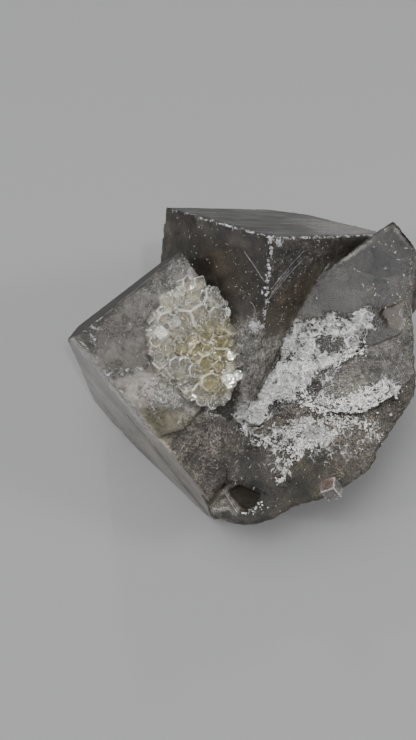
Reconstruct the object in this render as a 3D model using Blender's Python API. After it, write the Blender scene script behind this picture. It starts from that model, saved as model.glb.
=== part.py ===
"""Fluorite specimen: intergrown smoky cubes, broken off flat where they grew from the rock, with a crust of
small clear crystals on one face. Metres, +Z up. It leans back on its broken face, which is the plane z = 0."""

import math
import random

import bmesh
import bpy
from mathutils import Euler, Matrix, Vector

MM = 0.001

# The cluster is laid out as it grew, standing up, in mm: X to the right, Z up, and -Y out of its front.
# The whole is then tipped back about X until it lies on its broken face.
LEAN_BACK = math.radians(60)
BROKEN_FACE_DEPTH = 21.5
REST_CENTRE = (2.53, 8.71)

# Each cube: the corner nearest the front, the turn about X, Y and Z in degrees, and the edge lengths.
# In a crystal's own frame X runs along its front face to the right, Y goes into it and Z is up its left edge.
TALL_CORNER = (3.9, -5.2, 16.0)
TALL_TURN = (20.3, -9.3, 45.8)
TALL_SIZE = (28.0, 19.4, 26.0)

LEFT_CORNER = (-7.6, 0.0, 15.3)
LEFT_TURN = (-1.4, 50.2, 21.9)
LEFT_SIZE = (33.0, 20.5, 17.7)

RIGHT_CORNER = (21.2, 5.0, 20.4)
RIGHT_TURN = (-16.2, 53.6, -19.0)
RIGHT_DEPTH = 16.0

# The right crystal's front is stepped: each layer ends at a ridge, given as X and Z in that crystal's frame.
# Its left side is where it met the tall crystal.
STEP_HEIGHT = 0.9
UPPER_RIDGE = (
    (13.3, 0.0), (13.3, -7.6), (12.8, -11.0), (11.9, -13.8), (11.9, -15.9), (10.9, -20.5), (10.4, -23.9),
    (9.9, -28.8),
)
LOWER_RIDGE = (
    (18.6, -10.6), (19.0, -12.9), (18.8, -16.9), (18.4, -19.2), (16.6, -21.8), (14.8, -22.8), (13.4, -24.4),
    (12.6, -28.0), (12.2, -31.5),
)
RIGHT_MEETS_TALL = ((9.2, -28.9), (8.0, -26.5), (6.7, -23.6), (5.2, -21.6), (3.7, -18.2), (1.7, -14.4), (0.2, -10.6))

# The broken mass under the right crystal, its outline in the same frame, and how deep it goes.
MASS_OUTLINE = (
    (13.1, -7.2), (15.1, -8.0), (17.1, -9.1), (20.6, -11.8), (21.2, -13.7), (21.9, -15.1), (23.0, -17.9),
    (23.8, -20.4), (24.4, -20.9), (25.1, -22.4), (25.3, -26.3), (24.8, -29.6), (23.7, -32.7), (23.3, -36.1),
    (22.6, -38.9), (21.4, -40.9), (18.6, -43.2), (14.0, -42.5), (7.2, -39.6), (6.7, -32.3), (7.8, -20.0),
)
MASS_OPEN_FRONT = (
    (19.9, -13.5), (21.6, -16.5), (23.6, -21.5), (24.6, -25.5), (24.2, -29.5), (22.8, -33.5), (21.6, -35.5),
    (17.5, -35.0), (13.8, -34.0), (13.4, -29.0), (15.0, -24.6), (18.0, -22.2), (19.8, -18.0),
)
MASS_DEPTH = 28.0
MASS_TAPER = 0.88

# The front layer of the left crystal ends at a ledge near its lower right, as X and Z in that crystal's frame.
LEDGE_HEIGHT = 0.7
LEDGE_LINE = ((22.4, 0.0), (18.6, -7.0), (17.4, -11.0), (17.9, -14.4), (16.2, -17.7))

# Breaks: flat cuts across a crystal, each a point on the cut and the way it faces, in that crystal's frame.
LEFT_CORNER_BREAK = ((0.4, 5.8, -17.7), (-0.55, 0.39, -0.74))
LEFT_TOP_BREAK = ((0.0, 6.8, -1.6), (-0.81, 0.54, 0.21))
LEFT_FOOT_BREAK = ((26.5, 0.0, -12.0), (0.73, -0.68, 0.0))
TALL_BACK_BREAK = ((23.1, 18.9, 0.0), (0.63, 0.77, 0.0))
MASS_BREAKS = (
    ((21.2, 4.2, -13.0), (0.80, 0.40, 0.44)),
    ((25.2, 4.0, -23.0), (0.93, 0.36, 0.06)),
    ((24.9, 3.4, -30.0), (0.85, 0.48, -0.20)),
    ((22.8, 4.4, -41.6), (0.55, 0.45, -0.70)),
    ((18.0, 12.0, -36.0), (0.45, 0.78, -0.43)),
    ((22.0, 15.0, -20.0), (0.72, 0.68, 0.14)),
)
RIGHT_CORNER_BREAK = ((4.4, 0.0, 0.0), (0.58, -0.58, 0.58))
RIGHT_SIDE_BREAK = ((13.2, 0.0, -8.1), (0.85, 0.52, 0.0))

# The hollow broken out above the foot: its middle, half sizes and turn, in the right crystal's frame.
HOLLOW_MIDDLE = (18.4, 2.6, -38.4)
HOLLOW_SIZE = (3.3, 2.4, 1.5)
HOLLOW_TURN = (0, -46, 0)

# The clear cube near the bottom edge, in the right crystal's frame.
CLEAR_CUBE_MIDDLE = (24.2, 1.0, -28.0)
CLEAR_CUBE_SIZE = 2.2
CLEAR_CUBE_TURN = (18, 28, 12)

# Crumbs of crystal along the ridges' sharpest stretches, and lumps and pits on the broken mass.
CRUMB_LINES = (UPPER_RIDGE[3:7], LOWER_RIDGE[1:7])
CRUMB_SPACING = 0.75
CRUMB_RADIUS = (0.35, 0.75)
LUMP_COUNT = 9
LUMP_RADIUS = (1.0, 2.1)
LUMP_RISE = 0.3
PIT_COUNT = 5
PIT_RADIUS = (0.6, 1.2)

# The crust of small crystals, its outline on the left crystal's front and its grains.
CRUST_OUTLINE = (
    (2.8, -0.9), (6.3, -0.4), (8.4, -0.5), (12.0, -2.1), (14.7, -3.6), (17.0, -5.0), (18.4, -6.8), (18.7, -8.4),
    (17.0, -10.2), (15.1, -11.6), (9.8, -12.5), (6.6, -11.1), (4.8, -9.3), (3.3, -5.3),
)
CRUST_THICKNESS = 0.5
CRUST_GAP = 0.3
GRAIN_RADIUS = (0.55, 1.15)
GRAIN_HEIGHT = (0.5, 1.0)
GRAIN_LEAN = 9
BIG_GRAINS = ((6.9, -4.7, 1.35), (14.8, -8.1, 1.25))
GRAIN_TRIES = 700
SEED = 11


def remove_everything():
    for obj in list(bpy.data.objects):
        bpy.data.objects.remove(obj)


def new_collection(name, parent):
    collection = bpy.data.collections.new(name)
    parent.children.link(collection)
    return collection


def turn_matrix(degrees):
    return Euler([math.radians(angle) for angle in degrees], "XYZ").to_matrix().to_4x4()


def crystal_frame(corner, turn):
    """The frame of a crystal, in mm, as it stood while it grew."""
    return Matrix.Translation(corner) @ turn_matrix(turn)


GROWTH_TO_WORLD = (
    Matrix.Diagonal((MM, MM, MM, 1))
    @ Matrix.Translation((-REST_CENTRE[0], -REST_CENTRE[1], BROKEN_FACE_DEPTH))
    @ Matrix.Rotation(-LEAN_BACK, 4, "X")
)
TALL = crystal_frame(TALL_CORNER, TALL_TURN)
LEFT = crystal_frame(LEFT_CORNER, LEFT_TURN)
RIGHT = crystal_frame(RIGHT_CORNER, RIGHT_TURN)


def finish(shape, name, frame, collection):
    """Turn a bmesh in a crystal's frame into an object in its place."""
    bmesh.ops.transform(shape, matrix=GROWTH_TO_WORLD @ frame, verts=shape.verts)
    bmesh.ops.recalc_face_normals(shape, faces=shape.faces)
    mesh = bpy.data.meshes.new(name)
    shape.to_mesh(mesh)
    shape.free()
    obj = bpy.data.objects.new(name, mesh)
    collection.objects.link(obj)
    obj.hide_render = True
    obj.display_type = "WIRE"
    return obj


def box(name, low, high, frame, collection):
    """A closed box between two corners in a crystal's frame."""
    low, high = Vector(low), Vector(high)
    shape = bmesh.new()
    bmesh.ops.create_cube(shape, size=1.0)
    bmesh.ops.scale(shape, vec=high - low, verts=shape.verts)
    bmesh.ops.translate(shape, vec=(low + high) / 2, verts=shape.verts)
    return finish(shape, name, frame, collection)


def slab(name, outline, front, back, frame, collection, taper=1.0):
    """A flat outline in a crystal's X and Z, given depth along its Y; the back may be smaller than the front."""
    shape = bmesh.new()
    ring = [shape.verts.new((x, front, z)) for x, z in outline]
    face = shape.faces.new(ring)
    grown = bmesh.ops.extrude_face_region(shape, geom=[face])
    back_ring = [item for item in grown["geom"] if isinstance(item, bmesh.types.BMVert)]
    centre = sum((vert.co for vert in back_ring), Vector()) / len(back_ring)
    bmesh.ops.scale(shape, vec=(taper, 1, taper), space=Matrix.Translation(-centre), verts=back_ring)
    bmesh.ops.translate(shape, vec=(0, back - front, 0), verts=back_ring)
    return finish(shape, name, frame, collection)


def lump(name, middle, half_sizes, turn, frame, collection, dice, roughness=0.12):
    """A small faceted lump: a ball of flat faces, stretched, turned and roughened."""
    shape = bmesh.new()
    bmesh.ops.create_icosphere(shape, subdivisions=1, radius=1.0)
    for vert in shape.verts:
        vert.co *= 1 + dice.uniform(-roughness, roughness)
    bmesh.ops.scale(shape, vec=half_sizes, verts=shape.verts)
    bmesh.ops.transform(shape, matrix=Matrix.Translation(middle) @ turn_matrix(turn), verts=shape.verts)
    return finish(shape, name, frame, collection)


def break_off(name, cut, frame, collection, reach=60):
    """A cutter that takes away everything beyond a plane, given by a point and the way the cut face looks."""
    point, facing = Vector(cut[0]), Vector(cut[1]).normalized()
    shape = bmesh.new()
    bmesh.ops.create_cube(shape, size=reach)
    bmesh.ops.translate(shape, vec=(0, 0, reach / 2), verts=shape.verts)
    aim = facing.to_track_quat("Z", "Y").to_matrix().to_4x4()
    bmesh.ops.transform(shape, matrix=Matrix.Translation(point) @ aim, verts=shape.verts)
    return finish(shape, name, frame, collection)


def boolean(obj, operation, other):
    modifier = obj.modifiers.new(f"{operation.lower()} {other.name}", "BOOLEAN")
    modifier.operation = operation
    modifier.solver = "EXACT"
    if isinstance(other, bpy.types.Collection):
        modifier.operand_type = "COLLECTION"
        modifier.collection = other
    else:
        modifier.object = other


def inside(outline, x, z):
    """Whether a point lies within a closed outline."""
    count = 0
    for (x0, z0), (x1, z1) in zip(outline, outline[1:] + outline[:1]):
        if (z0 > z) != (z1 > z) and x < x0 + (z - z0) * (x1 - x0) / (z1 - z0):
            count += 1
    return count % 2 == 1


def along(line, spacing):
    """Points at even spacing along a line of X and Z pairs."""
    for start, end in zip(line, line[1:]):
        length = math.dist(start, end)
        steps = max(1, round(length / spacing))
        for step in range(steps):
            share = step / steps
            yield start[0] + (end[0] - start[0]) * share, start[1] + (end[1] - start[1]) * share


def off_tall_face(x, z):
    """How far a point on the left crystal's front stands off the tall crystal's left face."""
    return -(TALL.inverted() @ LEFT @ Vector((x, 0, z))).x


def material(name, colour, roughness):
    result = bpy.data.materials.new(name)
    result.use_nodes = True
    surface = result.node_tree.nodes["Principled BSDF"]
    surface.inputs["Base Color"].default_value = (*colour, 1)
    surface.inputs["Roughness"].default_value = roughness
    surface.inputs["Metallic"].default_value = 0.0
    return result


def make_part(obj, name, collection, surface):
    """Give a finished solid its node name, material and place among the parts."""
    for owner in obj.users_collection:
        owner.objects.unlink(obj)
    collection.objects.link(obj)
    obj.name = name
    obj.data.name = name
    obj.data.materials.append(surface)
    obj.hide_render = False
    obj.display_type = "TEXTURED"


def grow_left(collection):
    """The left crystal, its front layer ending at the ledge, and its breaks."""
    core_low = (2, LEDGE_HEIGHT, -LEFT_SIZE[2] + 0.2)
    left = box("left_core", core_low, (LEFT_SIZE[0], LEFT_SIZE[1] - 0.3, -0.5), LEFT, collection)
    outline = ((0, 0), *LEDGE_LINE, (0, -LEFT_SIZE[2]))
    boolean(left, "UNION", slab("left_front", outline, 0, LEFT_SIZE[1], LEFT, collection))
    for name, cut in (("corner", LEFT_CORNER_BREAK), ("top", LEFT_TOP_BREAK), ("foot", LEFT_FOOT_BREAK)):
        boolean(left, "DIFFERENCE", break_off(f"left_{name}_break", cut, LEFT, collection))
    return left


def grow_right(collection):
    """The right crystal's front layer, the step under it and the broken mass under both."""
    front_outline = ((0, 0), *UPPER_RIDGE, *RIGHT_MEETS_TALL)
    front = slab("right_front", front_outline, 0, RIGHT_DEPTH, RIGHT, collection)
    for name, cut in (("corner", RIGHT_CORNER_BREAK), ("side", RIGHT_SIDE_BREAK)):
        boolean(front, "DIFFERENCE", break_off(f"right_{name}_break", cut, RIGHT, collection))
    step_outline = ((9, -4), (13.4, -7.0), *LOWER_RIDGE, (10.4, -32.1), (8.5, -26), (4, -16))
    step = slab("right_step", step_outline, STEP_HEIGHT, RIGHT_DEPTH - 2, RIGHT, collection)
    mass = slab("mass", MASS_OUTLINE, 2 * STEP_HEIGHT, MASS_DEPTH, RIGHT, collection, MASS_TAPER)
    for number, cut in enumerate(MASS_BREAKS):
        boolean(mass, "DIFFERENCE", break_off(f"mass_break_{number}", cut, RIGHT, collection))
    return front, step, mass


def scatter_crumbs(collection, dice):
    """Small broken crystals that stand along both ridges."""
    for level, ridge in enumerate(CRUMB_LINES):
        for number, (x, z) in enumerate(along(ridge, CRUMB_SPACING)):
            radius = dice.uniform(*CRUMB_RADIUS)
            middle = (x + dice.uniform(-0.4, 0.1), level * STEP_HEIGHT + 0.1, z + dice.uniform(-0.3, 0.3))
            turn = [dice.uniform(0, 90) for axis in range(3)]
            size = (radius, radius * 0.8, radius * dice.uniform(0.7, 1.2))
            lump(f"crumb_{level}_{number}", middle, size, turn, RIGHT, collection, dice)


def scatter_on_mass(name, count, radii, rise, taken, collection, dice):
    """Low faceted lumps at seeded places on the open front of the broken mass, clear of the places taken."""
    made = 0
    while made < count:
        x, z = dice.uniform(13, 25), dice.uniform(-36, -13)
        radius = dice.uniform(*radii)
        rim = ((x + radius, z), (x - radius, z), (x, z + radius), (x, z - radius))
        on_mass = all(inside(MASS_OPEN_FRONT, *point) for point in rim)
        if not on_mass or any(math.dist((x, z), place[:2]) < radius + place[2] + 0.4 for place in taken):
            continue
        taken.append((x, z, radius))
        size = (radius, abs(rise) * 2, radius * dice.uniform(0.6, 1.0))
        turn = (dice.uniform(-8, 8), dice.uniform(0, 180), dice.uniform(-8, 8))
        lump(f"{name}_{made}", (x, 2 * STEP_HEIGHT + rise, z), size, turn, RIGHT, collection, dice)
        made += 1


def grow_grain(number, x, z, radius, collection, dice):
    """One flat-topped clear crystal of the crust, standing on the left crystal's front."""
    height = dice.uniform(*GRAIN_HEIGHT) * (0.6 + radius / 2)
    shape = bmesh.new()
    top = radius * dice.uniform(0.45, 0.7)
    bmesh.ops.create_cone(shape, cap_ends=True, segments=6, radius1=radius, radius2=top, depth=height)
    bmesh.ops.translate(shape, vec=(0, 0, height / 2 - 0.2), verts=shape.verts)
    lean = turn_matrix((90 + dice.uniform(-GRAIN_LEAN, GRAIN_LEAN), 0, dice.uniform(-GRAIN_LEAN, GRAIN_LEAN)))
    base = Matrix.Translation((x, -CRUST_GAP - CRUST_THICKNESS, z))
    spin = Matrix.Rotation(dice.uniform(0, math.pi), 4, "Z")
    bmesh.ops.transform(shape, matrix=base @ lean @ spin, verts=shape.verts)
    return finish(shape, f"grain_{number}", LEFT, collection)


def grow_crust(collection, dice):
    """Crystals crowded inside the crust's outline, bigger ones first."""
    grains = list(BIG_GRAINS)
    for attempt in range(GRAIN_TRIES):
        radius = GRAIN_RADIUS[1] + (GRAIN_RADIUS[0] - GRAIN_RADIUS[1]) * attempt / GRAIN_TRIES
        x, z = dice.uniform(2, 19), dice.uniform(-13, 1)
        if not inside(CRUST_OUTLINE, x, z) or off_tall_face(x, z) < radius + CRUST_GAP:
            continue
        if all(math.dist((x, z), grain[:2]) > 0.8 * (radius + grain[2]) for grain in grains):
            grains.append((x, z, radius))
    for number, grain in enumerate(grains):
        grow_grain(number, *grain, collection, dice)


remove_everything()
scene_root = bpy.context.scene.collection
parts = new_collection("fluorite_specimen", scene_root)
tools = new_collection("growth_tools", scene_root)
crumbs = new_collection("crumbs", tools)
lumps = new_collection("lumps", tools)
pits = new_collection("pits", tools)
grains = new_collection("grains", tools)
dice = random.Random(SEED)

tall = box("tall_cube", (0, 0, -TALL_SIZE[2]), (TALL_SIZE[0], TALL_SIZE[1], 0), TALL, tools)
boolean(tall, "DIFFERENCE", break_off("tall_back_break", TALL_BACK_BREAK, TALL, tools))
scatter_crumbs(crumbs, dice)
taken = [(HOLLOW_MIDDLE[0], HOLLOW_MIDDLE[2], HOLLOW_SIZE[0])]
scatter_on_mass("lump", LUMP_COUNT, LUMP_RADIUS, LUMP_RISE, taken, lumps, dice)
scatter_on_mass("pit", PIT_COUNT, PIT_RADIUS, -LUMP_RISE, taken, pits, dice)
hollow = lump("hollow", HOLLOW_MIDDLE, HOLLOW_SIZE, HOLLOW_TURN, RIGHT, tools, dice)
half = CLEAR_CUBE_SIZE / 2
cube_frame = RIGHT @ crystal_frame(CLEAR_CUBE_MIDDLE, CLEAR_CUBE_TURN)
clear_cube = box("clear_cube", (-half, -half, -half), (half, half, half), cube_frame, tools)
ground_frame = GROWTH_TO_WORLD.inverted() @ Matrix.Diagonal((MM, MM, MM, 1))
ground = box("ground", (-100, -100, -100), (100, 100, 0), ground_frame, tools)

for other in (grow_left(tools), *grow_right(tools), lumps):
    boolean(tall, "UNION", other)
for other in (pits, hollow):
    boolean(tall, "DIFFERENCE", other)
for other in (crumbs, clear_cube):
    boolean(tall, "UNION", other)
boolean(tall, "DIFFERENCE", ground)
make_part(tall, "fluorite_cluster", parts, material("smoky_fluorite", (0.10, 0.095, 0.085), 0.25))

grow_crust(grains, dice)
crust = slab("crust", CRUST_OUTLINE, -CRUST_GAP - CRUST_THICKNESS, -CRUST_GAP, LEFT, tools)
boolean(crust, "UNION", grains)
make_part(crust, "druse_crust", parts, material("clear_druse", (0.55, 0.50, 0.36), 0.12))
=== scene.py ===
import math
import random

import bpy
import numpy as np
from mathutils import Euler, Matrix, Vector, noise


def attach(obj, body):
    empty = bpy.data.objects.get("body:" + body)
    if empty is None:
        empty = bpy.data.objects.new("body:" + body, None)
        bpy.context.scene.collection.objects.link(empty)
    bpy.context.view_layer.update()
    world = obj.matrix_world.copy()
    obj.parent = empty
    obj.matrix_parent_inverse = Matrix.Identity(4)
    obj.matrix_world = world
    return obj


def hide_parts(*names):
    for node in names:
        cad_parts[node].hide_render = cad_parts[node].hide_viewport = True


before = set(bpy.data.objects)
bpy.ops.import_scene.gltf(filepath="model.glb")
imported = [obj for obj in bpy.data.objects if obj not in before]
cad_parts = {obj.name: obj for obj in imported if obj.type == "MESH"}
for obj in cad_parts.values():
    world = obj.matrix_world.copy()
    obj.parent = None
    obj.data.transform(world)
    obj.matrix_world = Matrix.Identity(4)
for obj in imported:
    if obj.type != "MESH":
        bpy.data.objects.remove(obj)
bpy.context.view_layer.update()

MM = 0.001

# ---------------------------------------------------------------- the cluster's own measures, in mm
# It is laid out as it grew, standing up: X to the right, Z up and -Y out of its front. The whole is then
# tipped back about X until it lies on its broken face.
LEAN_BACK = math.radians(60)
BROKEN_FACE_DEPTH = 21.5
REST_CENTRE = (2.53, 8.71)

TALL_CORNER = (3.9, -5.2, 16.0)
TALL_TURN = (20.3, -9.3, 45.8)
TALL_SIZE = (28.0, 19.4, 26.0)
LEFT_CORNER = (-7.6, 0.0, 15.3)
LEFT_TURN = (-1.4, 50.2, 21.9)
LEFT_SIZE = (33.0, 20.5, 17.7)
RIGHT_CORNER = (21.2, 5.0, 20.4)
RIGHT_TURN = (-16.2, 53.6, -19.0)
RIGHT_DEPTH = 16.0

STEP_HEIGHT = 0.9
UPPER_RIDGE = (
    (13.3, 0.0), (13.3, -7.6), (12.8, -11.0), (11.9, -13.8), (11.9, -15.9), (10.9, -20.5), (10.4, -23.9),
    (9.9, -28.8),
)
LOWER_RIDGE = (
    (18.6, -10.6), (19.0, -12.9), (18.8, -16.9), (18.4, -19.2), (16.6, -21.8), (14.8, -22.8), (13.4, -24.4),
    (12.6, -28.0), (12.2, -31.5),
)
STEP_OUTLINE = ((9, -4), (13.4, -7.0), *LOWER_RIDGE, (10.4, -32.1), (8.5, -26), (4, -16))
STEP_BACK = 14.0
RIDGES_MERGE = (
    (11.4, -21.3), (10.9, -23.9), (9.9, -28.8), (10.4, -32.4), (12.0, -31.4), (12.4, -28.0), (13.0, -25.3),
    (13.9, -23.4), (12.9, -21.2),
)
RIGHT_MEETS_TALL = (
    (9.2, -28.9), (8.0, -26.5), (6.7, -23.6), (5.2, -21.6), (3.7, -18.2), (1.7, -14.4), (0.2, -10.6),
)
MASS_OUTLINE = (
    (13.1, -7.2), (15.1, -8.0), (17.1, -9.1), (20.6, -11.8), (21.2, -13.7), (21.9, -15.1), (23.0, -17.9),
    (23.8, -20.4), (24.4, -20.9), (25.1, -22.4), (25.3, -26.3), (24.8, -29.6), (23.7, -32.7), (23.3, -36.1),
    (22.6, -38.9), (21.4, -40.9), (18.6, -43.2), (14.0, -42.5), (7.2, -39.6), (6.7, -32.3), (7.8, -20.0),
)
MERGED_LEVEL = 0.25
MERGED_BACK = 6.0
MASS_LEVEL = 2 * STEP_HEIGHT
MASS_DEPTH = 28.0
MASS_TAPER = 0.88
LEDGE_HEIGHT = 0.7
LEFT_CORE_LOW = (2, LEDGE_HEIGHT, -LEFT_SIZE[2] + 0.2)
LEFT_CORE_HIGH = (LEFT_SIZE[0], LEFT_SIZE[1] - 0.3, -0.5)
LEDGE_LINE = ((22.4, 0.0), (18.6, -7.0), (17.4, -11.0), (17.9, -14.4), (16.2, -17.7))

LEFT_CORNER_BREAK = ((0.4, 5.8, -17.7), (-0.55, 0.39, -0.74))
LEFT_TOP_BREAK = ((0.0, 6.8, -1.6), (-0.81, 0.54, 0.21))
LEFT_FOOT_BREAK = ((26.5, 0.0, -12.0), (0.73, -0.68, 0.0))
TALL_BACK_BREAK = ((23.1, 18.9, 0.0), (0.63, 0.77, 0.0))
MASS_BREAKS = (
    ((21.2, 4.2, -13.0), (0.80, 0.40, 0.44)),
    ((25.2, 4.0, -23.0), (0.93, 0.36, 0.06)),
    ((24.9, 3.4, -30.0), (0.85, 0.48, -0.20)),
    ((22.8, 4.4, -41.6), (0.55, 0.45, -0.70)),
    ((18.0, 12.0, -36.0), (0.45, 0.78, -0.43)),
    ((22.0, 15.0, -20.0), (0.72, 0.68, 0.14)),
)
RIGHT_CORNER_BREAK = ((4.4, 0.0, 0.0), (0.58, -0.58, 0.58))
RIGHT_SIDE_BREAK = ((13.2, 0.0, -8.1), (0.85, 0.52, 0.0))
HOLLOW_MOUTH = ((16.2, -39.7), (17.0, -37.5), (20.1, -35.5), (21.1, -37.2), (20.9, -39.3), (18.2, -39.8))
HOLLOW_FRONT = 0.5
HOLLOW_BACK = 3.4
HOLLOW_TAPER = 0.75
CLEAR_CUBE_FOOT = (24.5, 1.8, -28.1)
CLEAR_CUBE_SIZE = 2.05
CLEAR_CUBE_TURN = (32, -6, 35)
CLEAR_CUBE_BEVEL = 0.13
CLEAR_CUBE_SUNK = 0.28  # how far its middle is from the skin, in parts of its size

SKIN_SIZE = 0.31  # how fine the crystal's surface is
GROUND = 100  # half the width of the block that is cut away below the resting face


def turn_matrix(degrees):
    return Euler([math.radians(angle) for angle in degrees], "XYZ").to_matrix().to_4x4()


GROWTH_TO_WORLD = (
    Matrix.Diagonal((MM, MM, MM, 1))
    @ Matrix.Translation((-REST_CENTRE[0], -REST_CENTRE[1], BROKEN_FACE_DEPTH))
    @ Matrix.Rotation(-LEAN_BACK, 4, "X")
)
TALL = GROWTH_TO_WORLD @ Matrix.Translation(TALL_CORNER) @ turn_matrix(TALL_TURN)
LEFT = GROWTH_TO_WORLD @ Matrix.Translation(LEFT_CORNER) @ turn_matrix(LEFT_TURN)
RIGHT = GROWTH_TO_WORLD @ Matrix.Translation(RIGHT_CORNER) @ turn_matrix(RIGHT_TURN)


# ---------------------------------------------------------------- modelling by hand
def deselect_all():
    bpy.ops.object.select_all(action="DESELECT")


def select_only(obj):
    deselect_all()
    obj.select_set(True)
    bpy.context.view_layer.objects.active = obj


def edit(obj):
    """Open an object for editing, with all of it selected."""
    select_only(obj)
    bpy.ops.object.mode_set(mode="EDIT")
    bpy.ops.mesh.select_all(action="SELECT")


def leave_edit():
    bpy.ops.object.mode_set(mode="OBJECT")


def place(obj, where):
    """Settle a shape made in a crystal's frame into its place, with the object itself at the origin."""
    obj.data.transform(where)
    obj.data.update()
    return obj


def finish_solid(cuts):
    """Take flat breaks off the solid that is being edited, and turn its faces outward."""
    for point, facing in cuts:
        bpy.ops.mesh.select_all(action="SELECT")
        bpy.ops.mesh.bisect(plane_co=point, plane_no=facing, use_fill=True, clear_outer=True)
    bpy.ops.mesh.select_all(action="SELECT")
    bpy.ops.mesh.normals_make_consistent(inside=False)
    leave_edit()


def cut_cube(name, low, high, cuts=()):
    """A cube stretched between two corners, with flat breaks taken off it."""
    low, high = Vector(low), Vector(high)
    deselect_all()
    bpy.ops.mesh.primitive_cube_add(size=1, location=(0, 0, 0))
    obj = bpy.context.object
    obj.name = name
    edit(obj)
    bpy.ops.transform.resize(value=high - low, center_override=(0, 0, 0))
    bpy.ops.transform.translate(value=(low + high) / 2)
    finish_solid(cuts)
    return obj


def cut_layer(name, outline, front, back, taper=1.0, cuts=()):
    """A flat outline in X and Z pulled back along Y into a solid layer, with flat breaks taken off it."""
    deselect_all()
    bpy.ops.mesh.primitive_circle_add(vertices=len(outline), radius=1, fill_type="NGON", location=(0, 0, 0))
    obj = bpy.context.object
    obj.name = name
    for vert, (x, z) in zip(obj.data.vertices, outline):
        vert.co = (x, front, z)
    middle = sum((vert.co for vert in obj.data.vertices), Vector()) / len(outline)
    edit(obj)
    bpy.ops.mesh.extrude_region_move(TRANSFORM_OT_translate={"value": (0, back - front, 0)})
    bpy.ops.transform.resize(value=(taper, 1, taper), center_override=(middle.x, back, middle.z))
    finish_solid(cuts)
    return obj


def apply_modifier(obj, modifier):
    select_only(obj)
    bpy.ops.object.modifier_apply(modifier=modifier.name)


def combine(obj, other, operation="UNION"):
    """Join another solid to this one, or cut it away, and put it aside."""
    modifier = obj.modifiers.new(operation.lower(), "BOOLEAN")
    modifier.operation = operation
    modifier.solver = "EXACT"
    modifier.object = other
    apply_modifier(obj, modifier)
    bpy.data.objects.remove(other)


def grow_cluster():
    """The three intergrown cubes and the broken mass under them, as one closed body with a fine skin."""
    width, depth, height = TALL_SIZE
    cluster = place(cut_cube("fluorite_body", (0, 0, -height), (width, depth, 0), [TALL_BACK_BREAK]), TALL)
    breaks = [LEFT_CORNER_BREAK, LEFT_TOP_BREAK, LEFT_FOOT_BREAK]
    outline = ((0, 0), *LEDGE_LINE, (0, -LEFT_SIZE[2]))
    core = cut_cube("left_core", LEFT_CORE_LOW, LEFT_CORE_HIGH, breaks)
    front = cut_layer("left_front", outline, 0, LEFT_SIZE[1], 1.0, breaks)
    for piece in (core, front):
        combine(cluster, place(piece, LEFT))
    breaks = [RIGHT_CORNER_BREAK, RIGHT_SIDE_BREAK]
    outline = ((0, 0), *UPPER_RIDGE, *RIGHT_MEETS_TALL)
    front = cut_layer("right_front", outline, 0, RIGHT_DEPTH, 1.0, breaks)
    step = cut_layer("right_step", STEP_OUTLINE, STEP_HEIGHT, STEP_BACK)
    merged = cut_layer("right_merged", RIDGES_MERGE, MERGED_LEVEL, MERGED_BACK)
    mass = cut_layer("mass", MASS_OUTLINE, MASS_LEVEL, MASS_DEPTH, MASS_TAPER, MASS_BREAKS)
    for piece in (front, step, merged, mass):
        combine(cluster, place(piece, RIGHT))
    hollow = cut_layer("hollow", HOLLOW_MOUTH, HOLLOW_FRONT, HOLLOW_BACK, HOLLOW_TAPER)
    combine(cluster, place(hollow, RIGHT), "DIFFERENCE")
    ground = cut_cube("ground", (-GROUND, -GROUND, -GROUND), (GROUND, GROUND, 0))
    combine(cluster, place(ground, Matrix.Diagonal((MM, MM, MM, 1))), "DIFFERENCE")
    skin = cluster.modifiers.new("skin", "REMESH")
    skin.mode = "VOXEL"
    skin.voxel_size = SKIN_SIZE * MM
    apply_modifier(cluster, skin)
    return cluster


# ---------------------------------------------------------------- measuring on the surface
def rows_of(items, name, width, kind):
    """One value of each of a mesh's items, as rows."""
    flat = np.empty(len(items) * width, kind)
    items.foreach_get(name, flat)
    return flat.reshape(-1, width)


class Surface:
    """A mesh's points and normals, seen from each crystal's own frame in mm."""

    def __init__(self, mesh):
        self.mesh = mesh
        self.points = rows_of(mesh.vertices, "co", 3, np.float32).astype(float)
        self.normals = rows_of(mesh.vertex_normals, "vector", 3, np.float32).astype(float)
        self.edges = rows_of(mesh.edges, "vertices", 2, np.int32)

    def seen_from(self, crystal):
        """Points and normals in a crystal's frame."""
        back = np.array(crystal.inverted())
        turn = np.array(crystal.to_3x3().normalized().inverted())
        return self.points @ back[:3, :3].T + back[:3, 3], self.normals @ turn.T

    def soften(self, values, rounds):
        """Spread values a little to their neighbours."""
        count = np.bincount(self.edges.ravel(), minlength=len(values)).astype(float)
        first, second = self.edges.T
        for _ in range(rounds):
            total = np.bincount(first, values[second], len(values))
            total += np.bincount(second, values[first], len(values))
            values = (values + total / np.maximum(count, 1)) / 2
        return values

    def move(self, amounts, slide):
        """Push each point out along its normal and along its own slide, both in mm."""
        moved = self.points + self.normals * (amounts * MM)[:, None] + slide * MM
        moved[:, 2] = np.maximum(moved[:, 2], 0)
        self.mesh.vertices.foreach_set("co", moved.astype(np.float32).ravel())
        self.mesh.update()

    def keep(self, name, values):
        attribute = self.mesh.attributes.new(name, "FLOAT", "POINT")
        attribute.data.foreach_set("value", values.astype(np.float32))


def smoothstep(low, high, values):
    share = np.clip((values - low) / (high - low), 0, 1)
    return share * share * (3 - 2 * share)


def line_distance(points, line, closed=False):
    """How far each point in a plane is from a line of points."""
    line = list(line) + ([line[0]] if closed else [])
    nearest = np.full(len(points), 1e9)
    for start, end in zip(line, line[1:]):
        start, end = np.array(start, float), np.array(end, float)
        way = end - start
        share = np.clip((points - start) @ way / (way @ way), 0, 1)
        nearest = np.minimum(nearest, np.linalg.norm(points - start - share[:, None] * way, axis=1))
    return nearest


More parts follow.
